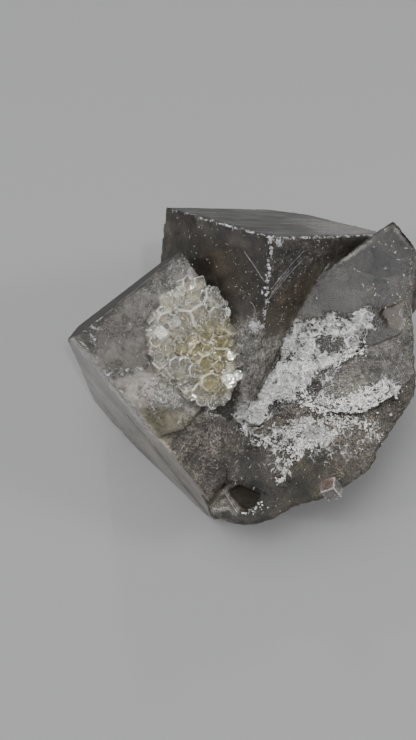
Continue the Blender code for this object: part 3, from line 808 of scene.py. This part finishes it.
# ---------------------------------------------------------------- small crystals
BIG_GRAINS = (
    # place on the left crystal's front, size
    (6.9, -4.6, 1.75), (15.0, -8.3, 1.6), (12.4, -7.0, 1.15), (9.6, -6.6, 1.1), (5.1, -7.6, 1.1),
    (16.9, -5.9, 1.1), (8.6, -9.9, 1.1), (12.0, -10.3, 1.2), (9.6, -3.6, 1.05), (6.8, -1.4, 1.0),
    (13.2, -4.4, 1.15),
)
DRUSE_TRIES = 5200
SHRINKING_TRIES = 3600  # the grains that are tried get smaller over these
LARGEST_GRAIN = 0.95
GRAIN_SHRINK = 0.65
PACKED_GRAIN = 0.45  # grains up to this size stand closer together
DRUSE_KINDS = ("blocky", "capped", "capped", "smooth_blocky", "smooth_capped")
DRUSE_GLINTS = 400
FOOT_NEEDLES = 80
FACE_CRUMBS = 70
GRAIN_BEVEL = 0.14
CHIPPED_EDGES = (
    # start, end in the tall crystal's frame, chips, size in mm
    ((0, 0, 0), (0, 9.0, 0), 24, 0.07),
    ((0, 9, 0), (0, 18.5, 0), 14, 0.06),
    ((0, 0, 0), (17.0, 0, 0), 20, 0.06),
    ((0, 0.6, -0.3), (1.5, 0, -0.9), 34, 0.15),
    ((0, 0.2, -0.9), (0.1, 0, -2.6), 12, 0.13),
    ((0, 0.1, -3.1), (0.1, 0, -3.8), 8, 0.15),
    ((0.2, 0.1, -4.4), (0.2, 0, -5.6), 9, 0.14),
    ((0.2, 0.3, -6.4), (0.4, 0, -7.1), 10, 0.15),
    ((0.6, 0.1, -7.9), (0.8, 0, -8.6), 7, 0.11),
    ((0.7, 0.1, -9.3), (1.0, 0, -10.4), 12, 0.12),
    ((0, 1.6, -11.3), (0.9, 0, -11.4), 26, 0.13),
)
TALL_HAIRLINES = (
    # points in the tall crystal's frame
    ((0, 4.3, -2.7), (0, 2.3, -4.1), (0, 0.3, -5.6)),
    ((0, 2.0, -8.6), (0, 1.5, -8.8), (0, 1.0, -9.3), (0, 0.9, -9.8), (0, 1.2, -10.1)),
    ((1.0, 0, -6.5), (2.6, 0, -5.1), (4.4, 0, -3.6), (6.5, 0, -1.9)),
    ((1.3, 0, -7.1), (3.0, 0, -5.4), (4.7, 0, -3.9)),
    ((0.6, 0, -7.9), (2.2, 0, -6.6), (4.0, 0, -5.1), (6.3, 0, -3.3)),
    ((0.9, 0, -9.4), (1.3, 0, -9.0), (1.2, 0, -8.5)),
)
RIM_LINES = (
    # level, line on the right crystal, passes, how far the line strays
    (0.0, ((12.1, -13.9), (11.5, -16.6), (11.2, -18.1), (10.8, -19.6), (9.9, -22.2)), 3, 0.22),
    (0.0, ((7.5, -18.4), (8.6, -20.4), (9.9, -22.2), (11.6, -23.4), (13.9, -24.3)), 2, 0.30),
    (
        STEP_HEIGHT,
        ((13.4, -24.4), (14.9, -23.2), (16.5, -21.9), (18.3, -19.4), (18.8, -17.0), (18.9, -13.2)), 4, 0.25,
    ),
    (STEP_HEIGHT, ((14.6, -22.2), (16.2, -20.6), (17.4, -18.6), (17.9, -16.4), (18.0, -14.0)), 3, 0.45),
    (STEP_HEIGHT, ((16.8, -19.6), (17.0, -17.4), (17.4, -15.2)), 2, 0.5),
)
LACE_STEMS = (
    (
        (11.5, -33.2), (13.8, -31.6), (13.8, -28.7), (16.1, -28.3), (17.6, -27.3), (18.6, -28.8),
        (18.4, -30.7), (20.1, -33.0),
    ),
    ((13.8, -31.6), (15.4, -31.4), (17.0, -29.3), (18.5, -27.1), (18.8, -24.1), (18.4, -21.4)),
    ((16.1, -28.3), (15.4, -26.5), (16.3, -24.0), (18.0, -21.1), (20.2, -19.5), (22.8, -19.3)),
)
SPARKLING = (
    # crystal, outline, axis that it faces along, level, splinters
    (LEFT, ((0.5, -17.3), (0.5, -0.5), (10, -0.5), (19, -9), (32, -8), (32, -15), (26, -17.3)), 1, 0.0, 130),
    (RIGHT, ((0.5, -9), (0.5, -1), (5, -0.5), (13, -2), (13, -8), (11, -14), (7, -9)), 1, 0.0, 80),
    (RIGHT, ((12, -14), (14, -8), (18, -11), (18.5, -17), (14, -22)), 1, STEP_HEIGHT, 70),
    (RIGHT, MASS_OUTLINE, 1, MASS_LEVEL, 180),
    (TALL, ((0.3, -11), (0.3, -0.5), (18, -0.5), (14, -8)), 0, 0.0, 70),
    (TALL, ((0.3, -24), (0.3, -12), (4, -12), (2, -20)), 0, 0.0, 60),
    (TALL, ((0.3, -14), (0.3, -0.5), (12, -0.5), (5, -12)), 1, 0.0, 110),
)
FACET_HAIRLINE = ((17.1, -39.9), (18.6, -40.0), (20.1, -40.0))
LACY_CRUSTS = (
    # outline, level, chains, steps, thickness
    (RIGHT_CRUST, 0.0, 60, 5, 0.08),
    (STEP_CRUST, STEP_HEIGHT, 40, 5, 0.07),
    (MASS_LACE, MASS_LEVEL, 70, 4, 0.08),
    (MASS_THIN, MASS_LEVEL, 50, 4, 0.06),
    (CREVICE_CRUST, MASS_LEVEL, 40, 3, 0.09),
)
HOLLOW_CRUMBS = ((20.6, -39.4), (20.9, -38.2), (21.2, -36.6))


def make_grain_shapes(clear, rim):
    """The shapes that small crystals are copied from: a bevelled cube, a capped prism and a plain chip."""
    shapes = {}
    deselect_all()
    bpy.ops.mesh.primitive_cube_add(size=1.55, location=(0, 0, 0))
    shapes["blocky"] = bpy.context.object
    deselect_all()
    bpy.ops.mesh.primitive_cylinder_add(vertices=7, radius=1, depth=1.5, location=(0, 0, 0))
    shapes["capped"] = bpy.context.object
    for shape in tuple(shapes.values()):
        shape.data.materials.append(clear)
        shape.data.materials.append(rim)
        edit(shape)
        # the bevels take the second material: painted highlights round each grain
        bpy.ops.mesh.bevel(offset=GRAIN_BEVEL, segments=1, affect="EDGES", material=1)
        leave_edit()
    for kind in ("blocky", "capped"):
        select_only(shapes[kind])
        bpy.ops.object.duplicate()
        smooth = bpy.context.object
        smooth.data.polygons.foreach_set("material_index", [0] * len(smooth.data.polygons))
        shapes["smooth_" + kind] = smooth
    deselect_all()
    bpy.ops.mesh.primitive_ico_sphere_add(subdivisions=1, radius=1, location=(0, 0, 0))
    shapes["chip"] = bpy.context.object
    edit(shapes["chip"])
    bpy.ops.transform.resize(value=(1.0, 0.75, 1.15), center_override=(0, 0, 0))
    leave_edit()
    return shapes


def strew(name, shapes, spots, finish=None):
    """Copies of the grain shapes at their places, each with its own mesh and tint, joined in one piece."""
    deselect_all()
    first = None
    for kind, where, tint in spots:
        mesh = shapes[kind].data.copy()
        mesh.transform(where)
        kept = mesh.attributes.new("tint", "FLOAT", "POINT")
        kept.data.foreach_set("value", [tint] * len(mesh.vertices))
        if finish:
            mesh.materials.clear()
        grain = bpy.data.objects.new(name, mesh)
        bpy.context.scene.collection.objects.link(grain)
        grain.select_set(True)
        first = first or grain
    bpy.context.view_layer.objects.active = first
    bpy.ops.object.join()
    first.name = name
    if finish:
        first.data.materials.append(finish)
    return first


def turned(dice, most):
    return Euler([math.radians(dice.uniform(-most, most)) for _ in range(3)]).to_matrix().to_4x4()


def stretched(size, dice, spread=0.2):
    return Matrix.Diagonal([size * dice.uniform(1 - spread, 1 + spread) for _ in range(3)] + [1])


def strayed(dice, by, ways=2):
    """A small random step."""
    return Vector([dice.gauss(0, by) for _ in range(ways)])


def anywhere(dice, outline):
    """A random place in the box round an outline."""
    low, high = np.min(outline, axis=0), np.max(outline, axis=0)
    return Vector((dice.uniform(low[0], high[0]), dice.uniform(low[1], high[1])))


def ahead(heading):
    return Vector((math.cos(heading), math.sin(heading)))


def within(outline, x, z):
    return patch(np.array([[x, z]]), outline, 0.01)[0] > 0.5


def on_skin(body, middle):
    """The nearest place to this one on the body's skin."""
    return body.closest_point_on_mesh(middle)[1]


def crumb_on(body, frame_of, middle, size, dice):
    """A crumb half sunk in the body's skin."""
    spot = on_skin(body, frame_of @ Vector(middle))
    return Matrix.Translation(spot) @ turned(dice, 180) @ stretched(size * MM, dice, 0.4)


def needle_on(body, frame_of, start, end, thick):
    """A thin needle along the body's skin from one place to another."""
    start, end = on_skin(body, frame_of @ Vector(start)), on_skin(body, frame_of @ Vector(end))
    way = end - start
    along = way.to_track_quat("Z", "Y").to_matrix().to_4x4()
    shape = Matrix.Diagonal((thick * MM, thick * MM, way.length * 0.52, 1))
    return Matrix.Translation((start + end) / 2) @ along @ shape


def points_along(line, gap):
    """Places along a line of points, about a gap apart."""
    places = [Vector(line[0])]
    for start, end in zip(line, line[1:]):
        start, end = Vector(start), Vector(end)
        count = max(1, round((end - start).length / gap))
        places += [start.lerp(end, (index + 1) / count) for index in range(count)]
    return places


def druse_place(dice):
    """A random place round the crust on the left crystal's front."""
    return dice.uniform(2, 19.5), dice.uniform(-13, 1)


def knots_along(line, gap):
    """Pairs of neighbouring places along a line."""
    knots = points_along(line, gap)
    return zip(knots, knots[1:])


def grow_druse(shapes, dice):
    """The crust of clear grains on the left crystal: big ones first, then smaller ones between them."""
    placed = list(BIG_GRAINS)
    for attempt in range(DRUSE_TRIES):
        size = LARGEST_GRAIN - GRAIN_SHRINK * min(1, attempt / SHRINKING_TRIES)
        x, z = druse_place(dice)
        if not within(CRUST_OUTLINE, x, z):
            continue
        room = 0.66 if size > PACKED_GRAIN else 0.58
        if all(math.dist((x, z), other[:2]) > room * (size + other[2]) for other in placed):
            placed.append((x, z, size))
    flat = np.array([spot[:2] for spot in placed])
    rims = line_distance(flat, CRUST_OUTLINE, True)
    ochres = patch(flat, CRUST_OCHRE, 1.6)
    spots = []
    for (x, z, size), rim, ochre in zip(placed, rims, ochres):
        height = (0.15 + 0.75 * min(1, rim / 3.0)) * (1 - 0.35 * ochre) + dice.uniform(-0.15, 0.2)
        middle = Matrix.Translation((x, -height - 0.15 * size, z))
        stands = Matrix.Rotation(math.radians(90), 4, "X") @ turned(dice, 26)
        spin = Matrix.Rotation(dice.uniform(0, math.tau), 4, "Z")
        kind = dice.choice(DRUSE_KINDS)
        tint = min(1, max(0, 0.12 + 0.75 * ochre + dice.uniform(-0.12, 0.12)))
        spots.append((kind, LEFT @ middle @ stands @ spin @ stretched(size, dice), tint))
    return strew("druse_grains", shapes, spots)


def grow_druse_glints(shapes, dice, finish):
    """White splinters on the druse, standing in as painted glints."""
    spots = []
    while len(spots) < DRUSE_GLINTS:
        x, z = druse_place(dice)
        if within(CRUST_OUTLINE, x, z):
            rim = line_distance(np.array([[x, z]]), CRUST_OUTLINE, True)[0]
            height = 0.5 + 0.85 * min(1, rim / 3.0)
            turn = turned(dice, 180)
            grain = turn @ Matrix.Diagonal((0.07, dice.uniform(0.07, 0.2), dice.uniform(0.12, 0.34), 1))
            spots.append(("chip", LEFT @ Matrix.Translation((x, -height, z)) @ grain, dice.random()))
    return strew("druse_glints", shapes, spots, finish)


def grow_lace(shapes, body, dice, finish):
    """White threads and crumbs: rims along the two ridges, and branching lace over the crusts."""
    spots = []

    def thread(level, start, end, thick, whitest=0.2, dullest=1.0):
        where = needle_on(body, RIGHT, (start[0], level, start[1]), (end[0], level, end[1]), thick)
        spots.append(("chip", where, dice.uniform(whitest, dullest)))

    def crumb(level, spot, smallest, largest, kinds, most=1.0):
        size = dice.uniform(smallest, largest)
        where = crumb_on(body, RIGHT, (spot[0], level, spot[1]), size, dice)
        spots.append((dice.choice(kinds), where, most * dice.random()))

    def wandering(level, start, steps, thick, outline=None):
        """A knobbly chain of short threads that winds over the skin."""
        heading = dice.uniform(0, math.tau)
        for _ in range(steps):
            heading += dice.gauss(0, 0.7)
            end = start + ahead(heading) * dice.uniform(0.12, 0.26)
            if outline and not within(outline, *end):
                break
            thread(level, start, end, thick * dice.uniform(0.6, 1.3))
            start = end

    for level, line, passes, stray in RIM_LINES:
        for _ in range(passes):
            knots = [spot + strayed(dice, stray) for spot in points_along(line, 0.45)]
            for start, end in zip(knots, knots[1:]):
                thread(level, start, end, dice.uniform(0.05, 0.10), 0.0, 0.25)
    for stem in LACE_STEMS:
        for spot in points_along(stem, 0.13) * 2:
            spot = spot + strayed(dice, 0.38)
            crumb(MASS_LEVEL, spot, 0.06, 0.19, ("blocky", "chip", "chip"))
            if dice.random() < 0.25:
                wandering(MASS_LEVEL, spot, 3, 0.07)
    for outline, level, count, steps, thick in LACY_CRUSTS:
        for _ in range(count):
            start = anywhere(dice, outline)
            if within(outline, *start):
                wandering(level, start, steps, thick, outline)
    for level, line, passes, stray in RIM_LINES:
        for spot in points_along(line, 0.22) * passes:
            crumb(level, spot + strayed(dice, 2 * stray), 0.05, 0.20, ("blocky", "chip"), 0.6)
    for spot in points_along(HOLLOW_CRUMBS, 0.12):
        crumb(MASS_LEVEL, spot + strayed(dice, 0.3), 0.04, 0.15, ("blocky", "chip"))
    for start, end in knots_along(FACET_HAIRLINE, 0.3):
        thread(MASS_LEVEL, start, end, 0.02, 0.5)
    return strew("white_lace", shapes, spots, finish)


def grow_sparks(shapes, body, dice, finish):
    """Tiny bent splinters all over the fronts as painted glints, most of them dull and a few bright."""
    spots = []
    for crystal, outline, across, level, count in SPARKLING:
        for _ in range(count):
            start = anywhere(dice, outline)
            heading, bend = dice.uniform(0, math.tau), dice.gauss(0, 0.6)
            tint = dice.random() ** 0.6
            for _ in range(dice.choice((1, 1, 2, 3))):
                heading += bend
                end = start + ahead(heading) * dice.uniform(0.1, 0.25)
                if within(outline, *start):
                    ends = [np.insert(spot, across, level) for spot in (start, end)]
                    spots.append(("chip", needle_on(body, crystal, *ends, dice.uniform(0.02, 0.045)), tint))
                start = end
    return strew("front_glint_splinters", shapes, spots, finish)


def grow_edge_chips(shapes, body, dice, finish):
    """Glittering chips and hairlines on the tall crystal's bruised front edges and at its foot."""
    spots = []

    def crumb(middle, size):
        where = crumb_on(body, TALL, middle, size, dice)
        spots.append(("chip", where, dice.random()))

    for start, end, count, size in CHIPPED_EDGES:
        start, end = Vector(start), Vector(end)
        for _ in range(count):
            middle = start.lerp(end, dice.random()) + strayed(dice, 0.14, 3)
            crumb(middle, size * dice.uniform(0.5, 1.5))
            tip = middle + strayed(dice, 0.3, 3)
            spots.append(("chip", needle_on(body, TALL, middle, tip, 0.03), dice.random()))
    for line in TALL_HAIRLINES:
        for start, end in knots_along(line, 0.4):
            spots.append(("chip", needle_on(body, TALL, start, end, 0.03), dice.uniform(0.6, 1.0)))
    for _ in range(FOOT_NEEDLES):
        middle = Vector((0, abs(dice.gauss(0, 0.9)), dice.gauss(-11.5, 0.4)))
        if dice.random() < 0.35:
            middle = Vector((abs(dice.gauss(0, 0.7)), 0, dice.gauss(-11.4, 0.4)))
        tip = middle + strayed(dice, 0.22, 3)
        where = needle_on(body, TALL, middle, tip, dice.uniform(0.03, 0.07))
        spots.append(("chip", where, 0.5 * dice.random()))
    for _ in range(FACE_CRUMBS):
        spot = (0, dice.uniform(0.5, 17), dice.uniform(-12, -0.5))
        if dice.random() < 0.4:
            spot = (dice.uniform(0.5, 13), 0, dice.uniform(-10, -0.5))
        crumb(spot, dice.uniform(0.03, 0.08))
    return strew("edge_chips", shapes, spots, finish)


def grow_clear_cube(body, clear, rim):
    """The small clear cube that stands on the rim of the broken mass."""
    deselect_all()
    bpy.ops.mesh.primitive_cube_add(size=CLEAR_CUBE_SIZE, location=(0, 0, 0))
    cube = bpy.context.object
    cube.name = "clear_cube"
    cube.data.materials.append(clear)
    cube.data.materials.append(rim)
    edit(cube)
    # the bevels take the rim material, a painted highlight along the cube's edges
    bpy.ops.mesh.bevel(offset=CLEAR_CUBE_BEVEL, segments=2, affect="EDGES", material=1)
    leave_edit()
    tint = cube.data.attributes.new("tint", "FLOAT", "POINT")
    rosy_side = -0.45 * CLEAR_CUBE_SIZE
    tint.data.foreach_set("value", [float(vertex.co.x < rosy_side) for vertex in cube.data.vertices])
    foot = RIGHT.inverted() @ on_skin(body, RIGHT @ Vector(CLEAR_CUBE_FOOT))
    middle = foot - Vector((0, CLEAR_CUBE_SUNK * CLEAR_CUBE_SIZE, 0))
    return place(cube, RIGHT @ Matrix.Translation(middle) @ turn_matrix(CLEAR_CUBE_TURN))


# ---------------------------------------------------------------- materials
REFRACTION = 1.434
SMOKE_TINT = (1.02, 0.98, 0.93)
WARM_TINT = (1.25, 1.0, 0.70)
PINKISH = (1.02, 0.99, 1.005, 1)
GREENISH = (0.985, 1.005, 0.945, 1)
OCHRE_TINT = (1.02, 1.0, 0.56, 1)
FROST_WHITE = (0.72, 0.715, 0.70, 1)
FLECK_WHITE = (0.60, 0.59, 0.57, 1)
CHIP_WHITE = (0.75, 0.74, 0.74, 1)


class Nodes:
    """A short hand for laying out a node tree."""

    def __init__(self, tree):
        self.tree = tree

    def add(self, kind, settings=None, **inputs):
        node = self.tree.nodes.new(kind)
        for name, value in (settings or {}).items():
            setattr(node, name, value)
        for name, value in inputs.items():
            self.feed(node.inputs[name.replace("_", " ")], value)
        return node

    def feed(self, socket, value):
        if isinstance(value, bpy.types.NodeSocket):
            self.tree.links.new(value, socket)
        else:
            socket.default_value = value

    def math(self, operation, first, second=0.0, clamp=False):
        node = self.add("ShaderNodeMath", {"operation": operation, "use_clamp": clamp})
        self.feed(node.inputs[0], first)
        self.feed(node.inputs[1], second)
        return node.outputs[0]

    def times(self, first, second):
        return self.math("MULTIPLY", first, second)

    def plus(self, first, second):
        return self.math("ADD", first, second)

    def ramp(self, value, low, high, to_low=0.0, to_high=1.0):
        node = self.add("ShaderNodeMapRange", {"interpolation_type": "SMOOTHSTEP"})
        for socket, given in zip(node.inputs, (value, low, high, to_low, to_high)):
            self.feed(socket, given)
        return node.outputs[0]

    def mix(self, share, first, second, blend="MIX"):
        node = self.add("ShaderNodeMix", {"data_type": "RGBA", "blend_type": blend})
        self.feed(node.inputs[0], share)
        self.feed(node.inputs[6], first)
        self.feed(node.inputs[7], second)
        return node.outputs[2]

    def noise(self, where, scale, detail=3.0, roughness=0.55, distortion=0.0):
        node = self.add("ShaderNodeTexNoise", Vector=where, Scale=scale, Detail=detail, Roughness=roughness,
                        Distortion=distortion)
        return node.outputs["Fac"]

    def ridge(self, where, scale, width, distortion):
        """Thin winding lines where a noise crosses its middle."""
        off = self.math("ABSOLUTE", self.math("SUBTRACT", self.noise(where, scale, 3, 0.55, distortion), 0.5))
        return self.ramp(off, 0.0, width, 1.0, 0.0)

    def warped(self, where, scale, amount):
        """Places pushed about by noise, so that what is laid on them wanders."""
        swirl = self.add("ShaderNodeTexNoise", Vector=where, Scale=scale, Detail=2.0).outputs["Color"]
        push = self.add("ShaderNodeVectorMath", {"operation": "MULTIPLY_ADD"})
        for socket, value in zip(push.inputs, (swirl, (amount, amount, amount), where)):
            self.feed(socket, value)
        return push.outputs[0]

    def net(self, where, scale, width):
        """Lines of an irregular net, 1 along their middle."""
        node = self.add("ShaderNodeTexVoronoi", {"feature": "DISTANCE_TO_EDGE"}, Vector=where, Scale=scale)
        return self.ramp(node.outputs["Distance"], 0.0, width, 1.0, 0.0)

    def in_mm(self):
        node = self.add("ShaderNodeVectorMath", {"operation": "SCALE"})
        self.feed(node.inputs[0], self.add("ShaderNodeTexCoord").outputs["Object"])
        node.inputs["Scale"].default_value = 1 / MM
        return node.outputs[0]

    def attribute(self, name):
        return self.add("ShaderNodeAttribute", {"attribute_name": name}).outputs["Fac"]

    def tinted(self, shade, gains):
        """One brightness as a colour, with a gain each for red, green and blue."""
        colour = self.add("ShaderNodeCombineColor")
        for socket, gain in zip(colour.inputs, gains):
            self.feed(socket, self.times(shade, gain))
        return colour.outputs[0]


def new_surface(name):
    """A material, its nodes, and its shader and output."""
    surface = bpy.data.materials.new(name)
    surface.use_nodes = True
    found = surface.node_tree.nodes
    return surface, Nodes(surface.node_tree), found["Principled BSDF"], found["Material Output"]


def see_through(nodes, shader, output, transmission, colour, density):
    """Let light into a crystal, and give it the colour that it takes up inside."""
    shader.inputs["IOR"].default_value = REFRACTION
    shader.inputs["Transmission Weight"].default_value = transmission
    if density:
        volume = nodes.add("ShaderNodeVolumeAbsorption", Color=(*colour, 1), Density=density)
        nodes.feed(output.inputs["Volume"], volume.outputs[0])


def new_group(name, inputs, outputs):
    """A group of nodes for plain values; gives its nodes, what comes in and where its results go."""
    tree = bpy.data.node_groups.new(name, "ShaderNodeTree")
    for socket, default in inputs.items():
        made = tree.interface.new_socket(socket, in_out="INPUT", socket_type="NodeSocketFloat")
        made.default_value = default
    for socket in outputs:
        tree.interface.new_socket(socket, in_out="OUTPUT", socket_type="NodeSocketFloat")
    nodes = Nodes(tree)
    return nodes, nodes.add("NodeGroupInput").outputs, nodes.add("NodeGroupOutput").inputs


def build_mottle_group():
    """Clouds, sugary grains, thin bright veils and flecks in and on smoky crystal."""
    nodes, given, out = new_group("crystal_mottle", {"Grit": 0.5}, ("Shade", "Hue", "Flecks", "Height"))
    where = nodes.in_mm()
    grit = given["Grit"]

    def swing(pattern, strength):
        """1 give or take a pattern, by its strength and the grit."""
        share = nodes.times(grit, strength)
        return nodes.plus(nodes.times(nodes.math("SUBTRACT", pattern, 0.5), share), 1.0)

    clouds = nodes.ramp(nodes.noise(where, 0.32, 4, 0.62, 0.6), 0.3, 0.7, 0.66, 1.34)
    smudges = nodes.ramp(nodes.noise(where, 0.95, 5, 0.66, 1.0), 0.3, 0.7, 0.70, 1.30)
    clouds = nodes.times(clouds, smudges)
    nodes.feed(out["Hue"], nodes.ramp(nodes.noise(where, 0.4, 3, 0.6, 0.8), 0.36, 0.64))
    grains = nodes.noise(where, 1.4, 5, 0.70)
    sugar = nodes.noise(where, 4.2, 4, 0.72)
    veils = nodes.times(nodes.ridge(where, 0.55, 0.022, 1.2), 0.35)
    threads = nodes.times(nodes.times(nodes.ridge(where, 2.2, 0.022, 0.8), grit), 0.9)
    shade = nodes.times(nodes.times(clouds, swing(grains, 5.0)), swing(sugar, 7.5))
    shade = nodes.plus(nodes.math("MAXIMUM", shade, 0.18), nodes.plus(veils, threads))
    nodes.feed(out["Shade"], shade)
    specks = nodes.ramp(nodes.noise(where, 4.4, 2, 0.5), 0.68, 0.73)
    gathered = nodes.ramp(nodes.noise(where, 0.8, 3, 0.6), 0.45, 0.62)
    specks = nodes.times(nodes.times(specks, gathered), nodes.times(grit, grit))
    nodes.feed(out["Flecks"], specks)
    height = nodes.times(nodes.plus(grains, nodes.times(sugar, 0.6)), grit)
    nodes.feed(out["Height"], height)
    return nodes.tree


def build_frost_group():
    """Lacy white crust: branches first, and as its amount rises the holes between them close."""
    nodes, given, out = new_group("lacy_frost", {"Amount": 0.5}, ("Cover", "Shade", "Height"))
    where = nodes.in_mm()
    branches = nodes.net(nodes.warped(where, 1.1, 1.6), 0.55, 0.12)
    twigs = nodes.net(nodes.warped(where, 3.0, 0.6), 1.8, 0.16)
    patches = nodes.times(nodes.math("SUBTRACT", nodes.noise(where, 1.0, 5, 0.72, 0.5), 0.5), 1.9)
    level = nodes.plus(nodes.times(branches, 0.34), nodes.times(twigs, 0.26))
    total = nodes.plus(nodes.plus(level, patches), nodes.math("SUBTRACT", given["Amount"], 0.58))
    cover = nodes.ramp(total, -0.05, 0.35)
    some = nodes.ramp(given["Amount"], 0.02, 0.2)
    nodes.feed(out["Cover"], nodes.times(cover, some))
    grain = nodes.ramp(nodes.noise(where, 2.6, 4, 0.75), 0.32, 0.68, 0.42, 1.0)
    lines = nodes.math("MAXIMUM", branches, twigs)
    nodes.feed(out["Shade"], nodes.plus(grain, nodes.times(lines, 0.45)))
    raised = nodes.times(nodes.plus(nodes.times(lines, 0.4), 0.6), cover)
    nodes.feed(out["Height"], nodes.times(raised, some))
    return nodes.tree


def crystal_material(name, groups, transmission, roughness, absorption, smoky):
    """Smoky crystal, coloured by what is kept on its points."""
    surface, nodes, shader, output = new_surface(name)
    mottle = nodes.add("ShaderNodeGroup", {"node_tree": groups["mottle"]}, Grit=nodes.attribute("grit"))
    frost = nodes.add("ShaderNodeGroup", {"node_tree": groups["frost"]}, Amount=nodes.attribute("frost"))
    shade = nodes.times(nodes.attribute("pale"), mottle.outputs["Shade"])
    smoke, ochre = nodes.tinted(shade, SMOKE_TINT), nodes.tinted(shade, WARM_TINT)
    colour = nodes.mix(nodes.attribute("warm"), smoke, ochre)
    colour = nodes.mix(1.0, colour, nodes.mix(mottle.outputs["Hue"], PINKISH, GREENISH), "MULTIPLY")
    share = nodes.attribute("ochre")
    colour = nodes.mix(share, colour, nodes.mix(1.0, colour, OCHRE_TINT, "MULTIPLY"))
    white = nodes.mix(1.0, FROST_WHITE, frost.outputs["Shade"], "MULTIPLY")
    colour = nodes.mix(frost.outputs["Cover"], colour, white)
    colour = nodes.mix(nodes.times(mottle.outputs["Flecks"], 0.8), colour, FLECK_WHITE)
    place_at = nodes.add("ShaderNodeTexCoord").outputs["Object"]
    chips = nodes.ramp(nodes.noise(place_at, 1500, 3, 0.6), 0.53, 0.60)
    chipped = nodes.times(chips, nodes.ramp(nodes.attribute("edge"), 0.6, 0.95))
    colour = nodes.mix(chipped, colour, CHIP_WHITE)
    nodes.feed(shader.inputs["Base Color"], colour)
    rough = nodes.math("MULTIPLY_ADD", nodes.attribute("grit"), 0.16)
    rough.node.inputs[2].default_value = roughness
    rough = nodes.plus(rough, nodes.times(frost.outputs["Cover"], 0.35))
    rough = nodes.math("ADD", rough, nodes.times(nodes.attribute("dull"), 0.5), clamp=True)
    nodes.feed(shader.inputs["Roughness"], rough)
    height = nodes.plus(mottle.outputs["Height"], nodes.times(frost.outputs["Height"], 1.5))
    bump = nodes.add("ShaderNodeBump", Height=height, Strength=1.0, Distance=0.0003)
    nodes.feed(shader.inputs["Normal"], bump.outputs[0])
    see_through(nodes, shader, output, transmission, smoky, absorption)
    return surface


def grain_material(name, plain, tinted, transmission, roughness, density):
    """Clear or white small crystals; tint runs from the plain colour to the tinted one."""
    surface, nodes, shader, output = new_surface(name)
    place_at = nodes.add("ShaderNodeTexCoord").outputs["Object"]
    colour = nodes.mix(nodes.attribute("tint"), (*plain, 1), (*tinted, 1))
    clouds = nodes.noise(place_at, 900, 3, 0.6)
    colour = nodes.mix(1.0, colour, nodes.ramp(clouds, 0.35, 0.65, 0.82, 1.05), "MULTIPLY")
    nodes.feed(shader.inputs["Base Color"], colour)
    nodes.feed(shader.inputs["Roughness"], nodes.ramp(clouds, 0.35, 0.75, roughness, roughness + 0.15))
    height = nodes.noise(place_at, 2600, 2, 0.5)
    bump = nodes.add("ShaderNodeBump", Height=height, Strength=0.25, Distance=0.0001)
    nodes.feed(shader.inputs["Normal"], bump.outputs[0])
    see_through(nodes, shader, output, transmission, tinted, density)
    return surface


# ---------------------------------------------------------------- putting it together
set_stage()
add_lights()
add_camera()

groups = {"mottle": build_mottle_group(), "frost": build_frost_group()}
body = grow_cluster()
dress_body(body)
select_only(body)
bpy.ops.object.shade_smooth()
body.data.materials.append(crystal_material("smoky_fluorite", groups, 0.45, 0.10, 60.0, (0.55, 0.50, 0.45)))

dice = random.Random(23)
# plain colour, tinted colour, share of light let through, roughness, depth of colour inside
clear = grain_material("clear_druse", (0.98, 0.97, 0.94), (0.94, 0.88, 0.60), 0.91, 0.02, 30)
# painted highlights: bevels made whiter and less clear, so that they show as bright rims
rim = grain_material("druse_rim_highlights", (0.98, 0.98, 0.96), (0.96, 0.93, 0.76), 0.67, 0.02, 0)
white = grain_material("white_crumbs", (0.94, 0.93, 0.91), (0.42, 0.41, 0.38), 0.25, 0.18, 0)
bright = grain_material("bright_chips", (0.92, 0.92, 0.93), (0.40, 0.37, 0.42), 0.45, 0.06, 0)
# painted glints: near white and nearly opaque
glint = grain_material("druse_glints", (0.98, 0.98, 0.97), (0.95, 0.93, 0.80), 0.10, 0.05, 0)
shapes = make_grain_shapes(clear, rim)
druse = grow_druse(shapes, dice)
glints = grow_druse_glints(shapes, dice, glint)
lace = grow_lace(shapes, body, dice, white)
chips = grow_edge_chips(shapes, body, dice, bright)
sparks = grow_sparks(shapes, body, dice, bright)
rosy = grain_material("clear_cube", (0.97, 0.97, 0.96), (0.97, 0.70, 0.64), 0.93, 0.02, 0)
rosy_rim_highlight = grain_material("cube_rim_highlights", (0.97, 0.97, 0.97), (0.95, 0.86, 0.84), 0.72, 0.03, 0)
cube = grow_clear_cube(body, rosy, rosy_rim_highlight)
for shape in shapes.values():
    bpy.data.objects.remove(shape)

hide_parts("fluorite_cluster")
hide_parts("druse_crust")
for piece in (body, druse, glints, lace, chips, sparks, cube):
    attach(piece, "root")
